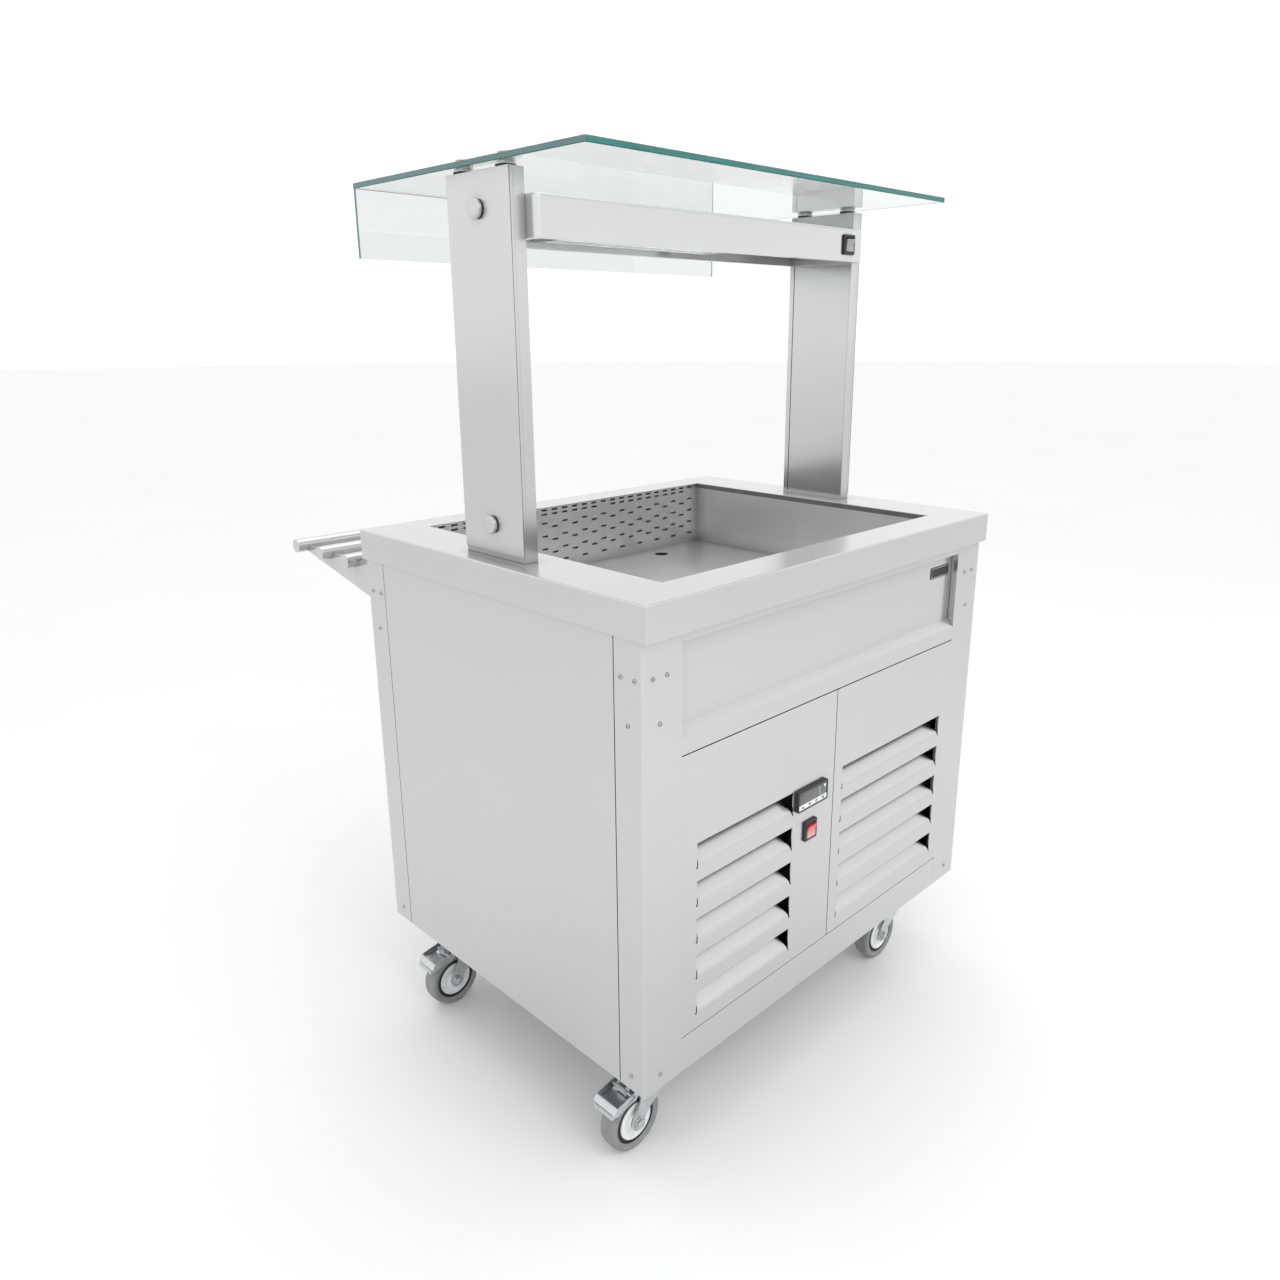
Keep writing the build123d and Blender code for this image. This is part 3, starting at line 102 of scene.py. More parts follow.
# ---------------------------------------------------------------- shader building
class Shader:
    """A material with a few shorthands for its nodes. Coordinates are metres in the row frame."""

    def __init__(self, name, colour, roughness, metallic=0.0, **constants):
        self.material = bpy.data.materials.new(name)
        self.material.use_nodes = True
        self.tree = self.material.node_tree
        self.bsdf = self.tree.nodes["Principled BSDF"]
        self.coords = self.tree.nodes.new("ShaderNodeTexCoord")
        self.place = self.coords.outputs["Object"]
        self.bsdf.inputs["Base Color"].default_value = (*colour, 1.0)
        self.bsdf.inputs["Emission Color"].default_value = (*colour, 1.0)
        self.bsdf.inputs["Roughness"].default_value = roughness
        self.bsdf.inputs["Metallic"].default_value = metallic
        for key, value in constants.items():
            self.bsdf.inputs[key.replace("_", " ").title().replace("Ior", "IOR")].default_value = value

    def put(self, target, value):
        """Sets a socket from a number, a colour or another socket."""
        if isinstance(value, bpy.types.NodeSocket):
            self.tree.links.new(value, target)
        else:
            target.default_value = value

    def math(self, operation, a, b=0.0, clamp=False):
        node = self.tree.nodes.new("ShaderNodeMath")
        node.operation = operation
        node.use_clamp = clamp
        self.put(node.inputs[0], a)
        self.put(node.inputs[1], b)
        return node.outputs[0]

    def vector(self, x, y, z):
        node = self.tree.nodes.new("ShaderNodeCombineXYZ")
        for socket, value in zip(node.inputs, (x, y, z)):
            self.put(socket, value)
        return node.outputs[0]

    def parts(self, vector):
        node = self.tree.nodes.new("ShaderNodeSeparateXYZ")
        self.put(node.inputs[0], vector)
        return node.outputs

    def stretch(self, scale, vector=None):
        node = self.tree.nodes.new("ShaderNodeMapping")
        node.inputs["Scale"].default_value = scale
        self.put(node.inputs["Vector"], vector or self.place)
        return node.outputs[0]

    def noise(self, scale, detail=3.0, vector=None, roughness=0.5):
        node = self.tree.nodes.new("ShaderNodeTexNoise")
        node.inputs["Scale"].default_value = scale
        node.inputs["Detail"].default_value = detail
        node.inputs["Roughness"].default_value = roughness
        self.put(node.inputs["Vector"], vector or self.place)
        return node.outputs["Fac"]

    def cells(self, scale, vector=None, feature="F1"):
        node = self.tree.nodes.new("ShaderNodeTexVoronoi")
        node.feature = feature
        node.inputs["Scale"].default_value = scale
        self.put(node.inputs["Vector"], vector or self.place)
        return node.outputs

    def span(self, value, low, high, source=(0.3, 0.7)):
        """Maps a noise value from its usual range to low..high."""
        node = self.tree.nodes.new("ShaderNodeMapRange")
        self.put(node.inputs["Value"], value)
        for key, number in zip(("From Min", "From Max", "To Min", "To Max"), (*source, low, high)):
            node.inputs[key].default_value = number
        return node.outputs["Result"]

    def blend(self, factor, a, b):
        """Mixes two colours."""
        node = self.tree.nodes.new("ShaderNodeMix")
        node.data_type = "RGBA"
        self.put(node.inputs["Factor"], factor)
        for socket, value in ((node.inputs[6], a), (node.inputs[7], b)):
            self.put(socket, (*value, 1.0) if isinstance(value, tuple) else value)
        return node.outputs[2]

    def choose(self, mask, a, b):
        """Mixes two vectors by a mask."""
        node = self.tree.nodes.new("ShaderNodeMix")
        node.data_type = "VECTOR"
        self.put(node.inputs["Factor"], mask)
        self.put(node.inputs[4], a)
        self.put(node.inputs[5], b)
        return node.outputs[1]

    def facing(self, axis):
        """1 on faces whose normal is mostly along an axis, otherwise 0."""
        out = self.parts(self.coords.outputs["Normal"])["XYZ".index(axis)]
        return self.math("GREATER_THAN", self.math("ABSOLUTE", out), 0.7)

    def occlusion_shade(self, reach):
        """Painted shade mask: 1 on open faces, falling towards 0 in seams and under overhangs."""
        node = self.tree.nodes.new("ShaderNodeAmbientOcclusion")
        node.samples = 6
        node.inputs["Distance"].default_value = reach
        return node.outputs["AO"]

    def bump(self, height, distance, strength=1.0, normal=None):
        node = self.tree.nodes.new("ShaderNodeBump")
        node.inputs["Distance"].default_value = distance
        node.inputs["Strength"].default_value = strength
        self.put(node.inputs["Height"], height)
        if normal is not None:
            self.put(node.inputs["Normal"], normal)
        return node.outputs[0]

    def finish(self, colour=None, roughness=None, normal=None, **others):
        for key, value in (("Base Color", colour), ("Roughness", roughness), ("Normal", normal)):
            if value is not None:
                self.put(self.bsdf.inputs[key], value)
        for key, value in others.items():
            self.put(self.bsdf.inputs[key.replace("_", " ").title()], value)
        return self.material


def grey(level, cool=0.0):
    return (level * (1 - cool), level, level * (1 + cool))


STREAK_LONG = 9.0        # streaks per metre along the grain
STREAK_FINE = 900.0      # and across it
# Painted shade: the sheet colour is darkened by an occlusion mask in seams and under overhangs.
SHADE_REACH = 0.03
SHADE_TONE = 0.45       # share of the sheet's tone deep in a seam


def brushed(name, level, grain, rough=(0.2, 0.27), contrast=0.018, depth=0.000002):
    """Satin brushed sheet, with painted shade in its seams and under overhangs. grain says which way the
    grain runs on faces square to X, Y and Z.
    """
    sh = Shader(name, grey(level), 0.3, metallic=1.0)
    at = sh.parts(sh.place)
    vector = tangent = None
    for face in "XYZ":
        along = grain["XYZ".index(face)]
        across = next(axis for axis in "XYZ" if axis not in (face, along))
        spread = sh.vector(*(float(axis == across) for axis in "XYZ"))
        tangent = spread if tangent is None else sh.choose(sh.facing(face), tangent, spread)
        streak = sh.vector(sh.math("MULTIPLY", at["XYZ".index(along)], STREAK_LONG),
                           sh.math("MULTIPLY", at["XYZ".index(across)], STREAK_FINE),
                           sh.math("MULTIPLY", at["XYZ".index(face)], STREAK_LONG))
        vector = streak if vector is None else sh.choose(sh.facing(face), vector, streak)
    fine = sh.noise(1.0, 5.0, vector, 0.62)
    coarse = sh.noise(0.16, 3.0, vector, 0.5)
    cloud = sh.noise(5.5, 4.0)
    smear = sh.noise(19.0, 5.0, None, 0.6)
    lines = sh.math("ADD", sh.math("MULTIPLY", fine, 0.65), sh.math("MULTIPLY", coarse, 0.35))
    tone = sh.math("ADD", sh.math("MULTIPLY", lines, 0.7), sh.math("MULTIPLY", cloud, 0.3))
    colour = sh.blend(sh.span(tone, 0.0, 1.0), grey(level * (1 - contrast)), grey(level * (1 + contrast)))
    # painted shade: darkens the sheet's colour in seams and under overhangs
    colour = sh.blend(sh.occlusion_shade(SHADE_REACH), grey(level * SHADE_TONE), colour)
    shine = sh.math("ADD", sh.math("MULTIPLY", lines, 0.55), sh.math("MULTIPLY", smear, 0.45))
    ripple = sh.bump(sh.noise(2.3, 2.0), 0.0016, 0.3)
    normal = sh.bump(lines, depth, 1.0, ripple)
    return sh.finish(colour, sh.span(shine, *rough), normal, anisotropic=0.6, tangent=tangent)


def turned(name, level, centre, axis):
    """Lathe-turned steel: fine rings round an axis through a point."""
    sh = Shader(name, grey(level), 0.2, metallic=1.0)
    at = sh.parts(sh.place)
    square = None
    for letter, middle in zip("XYZ", centre):
        if letter != axis:
            gap = sh.math("SUBTRACT", at["XYZ".index(letter)], middle)
            part = sh.math("MULTIPLY", gap, gap)
            square = part if square is None else sh.math("ADD", square, part)
    radius = sh.math("SQRT", square)
    rings = sh.noise(1.0, 4.0, sh.vector(sh.math("MULTIPLY", radius, 2600.0), 0.0, 0.0), 0.6)
    cloud = sh.noise(60.0, 3.0)
    colour = sh.blend(sh.span(rings, 0.0, 1.0), grey(level * 0.88), grey(level * 1.05))
    return sh.finish(colour, sh.span(cloud, 0.16, 0.3), sh.bump(rings, 0.00004))


def zinc(name, level=0.62):
    """Bright zinc plating with a faint mottle and small scuffs."""
    sh = Shader(name, grey(level, 0.01), 0.3, metallic=1.0)
    mottle = sh.cells(240.0)["Distance"]
    cloud = sh.noise(45.0, 5.0, None, 0.6)
    scuff = sh.noise(320.0, 3.0, sh.stretch((1.0, 0.25, 1.0)))
    tone = sh.math("ADD", sh.math("MULTIPLY", mottle, 0.35), sh.math("MULTIPLY", cloud, 0.65))
    colour = sh.blend(sh.span(tone, 0.0, 1.0, (0.2, 0.7)), grey(level * 0.8, 0.01), grey(level * 1.1, 0.01))
    normal = sh.bump(scuff, 0.00006, 0.8, sh.bump(cloud, 0.0002, 0.5))
    return sh.finish(colour, sh.span(cloud, 0.24, 0.44), normal)


def plastic(name, colour, rough, grain=2200.0, depth=0.00002, spread=0.12, **constants):
    """Moulded plastic with a fine spark-eroded grain and soft handling marks."""
    sh = Shader(name, colour, rough, **constants)
    fine = sh.noise(grain, 2.0)
    marks = sh.noise(38.0, 5.0, None, 0.65)
    shade = sh.blend(sh.span(marks, 0.0, 1.0), tuple(c * (1 - spread) for c in colour),
                     tuple(min(c * (1 + spread), 0.95) for c in colour))
    shine = sh.math("ADD", sh.math("MULTIPLY", fine, 0.4), sh.math("MULTIPLY", marks, 0.6))
    return sh.finish(shade, sh.span(shine, rough * 0.75, rough * 1.25), sh.bump(fine, depth))


def rubber(name, level, **constants):
    """Caster rubber: matt, with mould grain, rolling scuffs and a little dust."""
    sh = Shader(name, grey(level), 0.7, **constants)
    fine = sh.noise(1500.0, 3.0)
    wear = sh.noise(70.0, 5.0, None, 0.7)
    colour = sh.blend(sh.span(wear, 0.0, 1.0), grey(level * 0.82), grey(level * 1.14))
    normal = sh.bump(fine, 0.00006, 0.8, sh.bump(wear, 0.00025, 0.4))
    return sh.finish(colour, sh.span(wear, 0.58, 0.82), normal)


def pane(name, face, clear, deep, pale):
    """Clear safety glass, with the green of its thickness on the polished edges."""
    sh = Shader(name, clear, 0.0, transmission_weight=1.0, ior=1.5)
    flat = sh.facing(face)
    rim = sh.math("SUBTRACT", 1.0, flat)
    at = sh.parts(sh.place)
    inner = sh.noise(1.0, 4.0, sh.stretch((14.0, 14.0, 420.0)), 0.6)
    edge = sh.blend(sh.span(inner, 0.0, 1.0), deep, pale)
    # painted shade: edges facing X are darkened towards a dark grey-teal
    side = sh.facing("X")
    edge = sh.blend(sh.math("MULTIPLY", side, 0.55), edge, (0.16, 0.24, 0.25))
    colour = sh.blend(rim, clear, edge)
    wipe = sh.noise(11.0, 4.0, sh.stretch((1.0, 2.2, 1.0)), 0.6)
    smudge = sh.span(wipe, 0.0, 0.028)
    roughness = sh.math("ADD", smudge, sh.math("MULTIPLY", rim, 0.16))
    return sh.finish(colour, roughness, sh.bump(inner, 0.00002, 0.3),
                     transmission_weight=sh.math("SUBTRACT", 1.0, sh.math("MULTIPLY", rim, 0.82)))


def clear_plastic(name, colour, rough, transmission):
    sh = Shader(name, colour, rough, transmission_weight=transmission, ior=1.49)
    cloud = sh.noise(90.0, 4.0)
    shade = sh.blend(sh.span(cloud, 0.0, 1.0), tuple(c * 0.9 for c in colour), colour)
    return sh.finish(shade, sh.span(cloud, rough * 0.7, rough * 1.6), sh.bump(cloud, 0.00006, 0.4))


def rocker_painted_highlight(name, deep, pale, low, high):
    """Translucent rocker whose colour pales towards its lower edge; the pale lower part is a painted
    highlight.
    """
    sh = Shader(name, deep, 0.1, transmission_weight=0.25, ior=1.49)
    height = sh.parts(sh.place)[2]
    # painted highlight: the colour pales from red to near white towards the rocker's lower edge
    highlight_fade = sh.span(height, 1.0, 0.0, (low, high))
    cloud = sh.noise(160.0, 3.0)
    mix = sh.math("ADD", sh.math("MULTIPLY", highlight_fade, 0.85), sh.math("MULTIPLY", cloud, 0.15))
    return sh.finish(sh.blend(mix, deep, pale), sh.span(cloud, 0.06, 0.16), sh.bump(cloud, 0.00004, 0.3))


def finned(name, level):
    """Edges of a close stack of thin aluminium fins, with painted shade in the dark gaps between them."""
    sh = Shader(name, grey(level), 0.4, metallic=0.9)
    at = sh.parts(sh.place)
    wave = sh.math("SINE", sh.math("MULTIPLY", at[0], 2 * math.pi / 0.0021))
    dent = sh.noise(30.0, 4.0)
    tone = sh.math("ADD", sh.math("MULTIPLY", wave, 0.35), dent)
    # painted shade: the dark stripes stand in for shade in the gaps between the fins
    colour = sh.blend(sh.span(tone, 0.0, 1.0, (0.2, 0.8)), grey(level * 0.25), grey(level))
    return sh.finish(colour, sh.span(dent, 0.3, 0.5), sh.bump(wave, 0.0004, 0.8))


def painted(name, colour, rough, coat):
    """Sprayed paint with orange peel and a few thin spots."""
    sh = Shader(name, colour, rough, coat_weight=coat)
    peel = sh.noise(420.0, 2.0)
    cloud = sh.noise(16.0, 5.0, None, 0.6)
    dark, pale = (tuple(c * share for c in colour) for share in (0.85, 1.15))
    shade = sh.blend(sh.span(cloud, 0.0, 1.0), dark, pale)
    return sh.finish(shade, sh.span(cloud, rough * 0.8, rough * 1.3), sh.bump(peel, 0.00008, 0.5))


def foam_skin(name):
    """Cut polyurethane foam."""
    sh = Shader(name, (0.8, 0.7, 0.45), 0.9)
    holes = sh.cells(450.0)["Distance"]
    cloud = sh.noise(12.0, 4.0)
    colour = sh.blend(sh.span(cloud, 0.0, 1.0), (0.72, 0.58, 0.33), (0.86, 0.77, 0.52))
    return sh.finish(colour, sh.span(cloud, 0.85, 0.95), sh.bump(holes, 0.0008))


def floor_paint():
    """Pale seamless studio floor with a very faint unevenness."""
    sh = Shader("studio_floor", grey(0.8), 0.7)
    cloud = sh.noise(0.9, 4.0)
    colour = sh.blend(sh.span(cloud, 0.0, 1.0), grey(0.79), grey(0.81))
    return sh.finish(colour, sh.span(cloud, 0.65, 0.8), sh.bump(sh.noise(240.0, 2.0), 0.00004, 0.3))


# ---------------------------------------------------------------- mesh building
def add_piece(name, bm, materials, body, replaces=(), angle=32.0):
    """Turns a bmesh into a shaded piece that rides on a body."""
    bmesh.ops.recalc_face_normals(bm, faces=bm.faces)
    mesh = bpy.data.meshes.new(name)
    bm.to_mesh(mesh)
    bm.free()
    for material in materials:
        mesh.materials.append(material)
    mesh.shade_smooth()
    mesh.set_sharp_from_angle(angle=math.radians(angle))
    piece = bpy.data.objects.new(name, mesh)
    bpy.context.scene.collection.objects.link(piece)
    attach(piece, body)
    if replaces:
        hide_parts(*replaces)
    return piece


def turn_to(direction):
    """Rotation that takes +Z to a direction."""
    return Vector(direction).to_track_quat("Z", "Y").to_matrix().to_4x4()


def lathe(bm, profile, at, direction, steps=48, paint=None):
    """Revolves (radius, height) points round a direction. paint gives each band's material index."""
    place = Matrix.Translation(Vector(at)) @ turn_to(direction)
    rings = []
    for radius, height in profile:
        if radius < 1e-7:
            rings.append([bm.verts.new(place @ Vector((0, 0, height)))])
        else:
            rings.append([bm.verts.new(place @ Vector((radius * math.cos(a), radius * math.sin(a), height)))
                          for a in (2 * math.pi * k / steps for k in range(steps))])
    for band, (low, high) in enumerate(zip(rings, rings[1:])):
        for k in range(steps):
            corners = [low[k % len(low)], low[(k + 1) % len(low)],
                       high[(k + 1) % len(high)], high[k % len(high)]]
            corners = list(dict.fromkeys(corners))
            if len(corners) > 2:
                bm.faces.new(corners).material_index = paint[band] if paint else 0


def prism(bm, outline, base, direction, height, bevel=0.0, paint=0, x_dir=None):
    """Extrudes a closed outline from a base point, and rounds the far edge."""
    if x_dir is None:
        place = Matrix.Translation(Vector(base)) @ turn_to(direction)
    else:
        z = Vector(direction).normalized()
        x = Vector(x_dir).normalized()
        y = z.cross(x)
        place = Matrix.Translation(Vector(base)) @ Matrix((
            (x.x, y.x, z.x, 0), (x.y, y.y, z.y, 0), (x.z, y.z, z.z, 0), (0, 0, 0, 1)))
    low = [bm.verts.new(place @ Vector((x, y, 0))) for x, y in outline]
    high = [bm.verts.new(place @ Vector((x, y, height))) for x, y in outline]
    count = len(outline)
    faces = [bm.faces.new(low[::-1]), bm.faces.new(high)]
    faces += [bm.faces.new((low[k], low[(k + 1) % count], high[(k + 1) % count], high[k]))
              for k in range(count)]
    for face in faces:
        face.material_index = paint
    if bevel:
        rim = list({edge for edge in faces[1].edges})
        bmesh.ops.bevel(bm, geom=rim, offset=bevel, segments=3, profile=0.5, affect="EDGES")


def circle(radius, steps=32, turn=0.0):
    turns = [turn + 2 * math.pi * k / steps for k in range(steps)]
    return [(radius * math.cos(a), radius * math.sin(a)) for a in turns]


def rounded(width, height, radius, steps=5):
    """Outline of a rounded rectangle about the origin."""
    points = []
    for sx, sy, start in ((1, 1, 0), (-1, 1, 90), (-1, -1, 180), (1, -1, 270)):
        for k in range(steps + 1):
            a = math.radians(start + 90 * k / steps)
            points.append((sx * (width / 2 - radius) + radius * math.cos(a),
                           sy * (height / 2 - radius) + radius * math.sin(a)))
    return points


def islands(node):
    """Boxes of the separate solids in a CAD node, as (low, high) corners."""
    bm = bmesh.new()
    bm.from_mesh(NODES[node].data)
    bmesh.ops.remove_doubles(bm, verts=bm.verts, dist=2e-5)
    seen, boxes = set(), []
    for start in bm.verts:
        if start in seen:
            continue
        seen.add(start)
        group, todo = [], [start]
        while todo:
            vert = todo.pop()
            group.append(vert.co.copy())
            for edge in vert.link_edges:
                other = edge.other_vert(vert)
                if other not in seen:
                    seen.add(other)
                    todo.append(other)
        boxes.append((Vector(map(min, zip(*group))), Vector(map(max, zip(*group)))))
    bm.free()
    return boxes


def soften(name, width, segments=2, angle=34.0):
    """Rounds the sharp edges of a CAD node that stays, so that they catch the light."""
    node = NODES[name]
    weld = node.modifiers.new("weld", "WELD")
    weld.merge_threshold = 0.00002
    bevel = node.modifiers.new("edge_round", "BEVEL")
    bevel.limit_method = "ANGLE"
    bevel.angle_limit = math.radians(angle)
    bevel.width = width
    bevel.segments = segments
    bevel.use_clamp_overlap = True
    even = node.modifiers.new("even_normals", "WEIGHTED_NORMAL")
    even.keep_sharp = True


def paint_node(name, material):
    """Gives a CAD node its finished material."""
    for held in NODES[name].material_slots:
        held.material = material


# ---------------------------------------------------------------- stage
make_camera()
make_world(1.16)
area_light("key", (-2.4, -3.0, 3.4), (0, 0, 0.7), (2.6, 2.0), 12)
area_light("top", (0.3, 0.2, 3.9), (0, 0, 0.8), (3.0, 3.0), 18)
area_light("fill", (-0.2, -2.6, 2.4), (-0.4, -1.3, 0.0), (1.6, 1.6), 20, False)
scene = bpy.context.scene
scene.view_settings.view_transform = "Standard"
scene.view_settings.look = "None"

bm = bmesh.new()
bmesh.ops.create_circle(bm, cap_ends=True, segments=96, radius=40.0)
floor_mesh = bpy.data.meshes.new("floor")
bm.to_mesh(floor_mesh)
bm.free()
floor_mesh.materials.append(floor_paint())
floor = bpy.data.objects.new("floor", floor_mesh)
scene.collection.objects.link(floor)

# ---------------------------------------------------------------- finishes
CORNERS = ("front_left", "front_right", "back_left", "back_right")
SHEET_TONE = 0.60
steel_upright = brushed("steel_upright", SHEET_TONE, ("Z", "Z", "X"))
steel_level = brushed("steel_level", SHEET_TONE, ("Z", "X", "X"))
steel_canopy = brushed("steel_canopy", 0.66, ("Z", "X", "X"))
steel_well = brushed("steel_well", 0.66, ("Y", "X", "X"), rough=(0.26, 0.38))
steel_tube = brushed("steel_tube", 0.62, ("Z", "X", "X"), rough=(0.16, 0.28))
steel_bright = brushed("steel_bright", 0.66, ("Z", "X", "X"), rough=(0.12, 0.2), contrast=0.03)
# darkened steel: its low tone and strong contrast are painted shade, used on the rivet heads and the post
# fold lines
steel_dark_shade = brushed("steel_dark_shade", 0.45, ("Z", "X", "X"), rough=(0.12, 0.2), contrast=0.08)
zinc_plate = zinc("zinc_plate")
black_plastic = plastic("black_plastic", (0.018, 0.018, 0.019), 0.38)
black_strip = plastic("black_strip", (0.11, 0.11, 0.112), 0.5)
rocker_grey = plastic("rocker_grey", (0.33, 0.335, 0.34), 0.14, depth=0.000005)
white_plastic = plastic("white_plastic", (0.74, 0.75, 0.74), 0.35)
hub_plastic = plastic("hub_plastic", (0.74, 0.75, 0.75), 0.34)
tyre_rubber = rubber("tyre_rubber", 0.24)
ring_rubber = rubber("ring_rubber", 0.022)
# real rubber on the glass pads, and painted shade where it rings the rivet heads and the feet of the cap
# nuts
pad_rubber_and_shade = rubber("pad_rubber_and_shade", 0.03)
icon_ink = plastic("icon_ink", (0.02, 0.02, 0.022), 0.45)
icon_white = plastic("icon_white", (0.8, 0.8, 0.78), 0.4)
window_dark = plastic("window_dark", (0.10, 0.102, 0.105), 0.2, depth=0.000004, spread=0.2)
digit_off = plastic("digit_off", (0.17, 0.165, 0.165), 0.25, depth=0.000004)
rocker_low, rocker_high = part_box("power_switch_rocker")
red_clear = rocker_painted_highlight("red_clear", (0.72, 0.015, 0.035), (0.9, 0.52, 0.54), rocker_low.z, rocker_high.z)
cap_clear = clear_plastic("cap_clear", (0.72, 0.74, 0.74), 0.22, 0.5)
lens_clear = clear_plastic("lens_clear", (0.93, 0.95, 0.95), 0.06, 0.92)
tube_white = plastic("tube_white", (0.88, 0.89, 0.88), 0.25, emission_strength=1.4)
top_glass = pane("top_glass", "Z", (0.90, 0.925, 0.92), (0.008, 0.13, 0.11), (0.03, 0.25, 0.22))
front_glass = pane("front_glass", "Y", (0.74, 0.76, 0.755), (0.008, 0.13, 0.11), (0.03, 0.25, 0.22))
foam = foam_skin("foam_skin")
fins = finned("fins", 0.6)
# near-black coil: painted shade for the dark chamber behind the perforated air panels
coil_dark_shade = finned("coil_dark_shade", 0.07)
frame_paint = painted("frame_paint", (0.20, 0.205, 0.21), 0.4, 0.0)
black_paint = painted("black_paint", (0.012, 0.012, 0.012), 0.25, 0.6)
fan_plastic = plastic("fan_plastic", (0.05, 0.05, 0.055), 0.45)
pipe_plastic = plastic("pipe_plastic", (0.03, 0.03, 0.032), 0.4)
badge_dark = brushed("badge_dark", 0.045, ("Z", "X", "X"), rough=(0.3, 0.4), contrast=0.1)
badge_light = brushed("badge_light", 0.62, ("Z", "X", "X"), rough=(0.2, 0.3))

FINISHES = {
    steel_level: ("worktop", "front_fascia", "base_tray", "back_panel"),
    steel_upright: ("side_panel_left", "side_panel_right", "louvre_panel_left", "louvre_panel_right",
                    "corner_profile_front_left", "corner_profile_front_right", "corner_profile_back_left",
                    "corner_profile_back_right", "post_channel_left", "post_channel_right",
                    "post_outer_covers", "post_inner_covers", "tray_brackets"),
    steel_canopy: ("light_canopy",),
    steel_well: ("well_liner", "air_panel_back", "air_panel_front", "evaporator_cover"),
    steel_tube: ("tray_tubes",),
    cap_clear: ("glass_caps",),
    zinc_plate: ("caster_plates", "brake_pedal_front_left", "brake_pedal_back_left")
    + tuple(f"caster_fork_{corner}" for corner in CORNERS),
    frame_paint: ("chassis_frame",),
    black_plastic: ("controller_body", "switch_frames", "cable_gland"),
    black_strip: ("pan_rails",),
    rocker_grey: ("light_switch_rocker",),
    red_clear: ("power_switch_rocker",),
    white_plastic: tuple(f"controller_button_{n}" for n in range(1, 5)),
    pipe_plastic: ("drain_pipe",),
    top_glass: ("glass_top",),
    front_glass: ("glass_front",),
    pad_rubber_and_shade: ("glass_pads",),
    foam: ("well_insulation",),
    fins: ("condenser",),
    coil_dark_shade: ("evaporator_unit",),
    fan_plastic: ("evaporator_fan", "condenser_fan"),
    black_paint: ("compressor",),
}
for material, names in FINISHES.items():
    for name in names:
        paint_node(name, material)

EDGE_ROUNDS = {
    0.5 * MM: ("worktop", "light_canopy", "corner_profile_front_left", "corner_profile_front_right",
               "corner_profile_back_left", "corner_profile_back_right",
               "side_panel_left", "side_panel_right",
               "base_tray", "back_panel", "front_fascia", "post_outer_covers", "post_inner_covers",
               "post_channel_left", "post_channel_right", "tray_brackets", "pan_rails"),
    0.7 * MM: ("brake_pedal_front_left", "brake_pedal_back_left", "caster_plates")
    + tuple(f"caster_fork_{corner}" for corner in CORNERS),
    0.6 * MM: ("tray_tubes", "power_switch_rocker", "light_switch_rocker", "glass_pads"),
}
for width, names in EDGE_ROUNDS.items():
    for name in names:
        soften(name, width)

# ---------------------------------------------------------------- rivets and cap nuts
RIVET_PROFILE = [(3.5, 0.0), (3.5, 0.3), (3.2, 0.8), (2.6, 1.3), (1.9, 1.62), (1.25, 1.78), (1.1, 1.7),
                 (1.0, 1.0), (0.8, 0.8), (0.0, 0.8)]
# Bands with index 1 are painted shade: the dark ring at the foot of the head for the shadow line round each
# rivet, and the dark hole in the middle for the shade inside the mandrel hole.
RIVET_PAINT = [1, 0, 0, 0, 0, 0, 1, 1, 1]
BODY_MIDDLE = (0.0, (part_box("louvre_panel_left")[0].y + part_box("back_panel")[1].y) / 2, 0.0)
bm = bmesh.new()
for low, high in islands("body_rivets"):
    size, middle = high - low, (low + high) / 2
    axis = min(range(3), key=lambda k: size[k])
    side = 1 if middle[axis] > BODY_MIDDLE[axis] else -1
    out = Vector((0, 0, 0))
    out[axis] = side
    base = middle.copy()
    base[axis] = low[axis] if side > 0 else high[axis]
    lathe(bm, [(r * MM, h * MM) for r, h in RIVET_PROFILE], base, out, 28, RIVET_PAINT)
add_piece("rivet_heads", bm, [steel_dark_shade, pad_rubber_and_shade], "root", ("body_rivets",))

NUT_PROFILE = [(12.6, 0.0), (12.6, 1.2), (12.0, 1.5), (12.0, 1.7), (12.7, 1.9), (13.0, 2.2), (13.0, 5.4),
               (12.8, 6.5), (12.1, 7.3), (11.0, 7.7), (8.0, 7.9), (0.0, 8.0)]
# The first three bands, against the post, take the dark material: painted shade for the contact shadow round
# the nut.
NUT_PAINT = [1, 1, 1] + 8 * [0]
for number, (low, high) in enumerate(islands("post_cap_nuts"), start=1):
    middle = (low + high) / 2
    out = Vector((1 if middle.x > 0 else -1, 0, 0))
    base = Vector((low.x if out.x > 0 else high.x, middle.y, middle.z))
    bm = bmesh.new()
    lathe(bm, [(r * MM, h * MM) for r, h in NUT_PROFILE], base, out, 64, NUT_PAINT)
    turned_steel = turned(f"turned_steel_{number}", 0.6, middle, "X")
    add_piece(f"cap_nut_{number}", bm, [turned_steel, pad_rubber_and_shade], "root",
              ("post_cap_nuts",))

# ---------------------------------------------------------------- pads under the glass
PAD_DARK = 3.4 * MM          # height of the rubber sole
bm_dark, bm_clear = bmesh.new(), bmesh.new()
for low, high in islands("glass_pads"):
    middle, size = (low + high) / 2, high - low
    outline = rounded(size.x, size.y, 0.2 * min(size.x, size.y))
    prism(bm_dark, outline, (middle.x, middle.y, low.z), (0, 0, 1), PAD_DARK, 0.4 * MM, 0, (1, 0, 0))
    prism(bm_clear, outline, (middle.x, middle.y, low.z + PAD_DARK), (0, 0, 1), size.z - PAD_DARK,
          0.3 * MM, 0, (1, 0, 0))
add_piece("pad_soles", bm_dark, [pad_rubber_and_shade], "root", ("glass_pads",))
add_piece("pad_tops", bm_clear, [white_plastic], "root", ("glass_pads",))

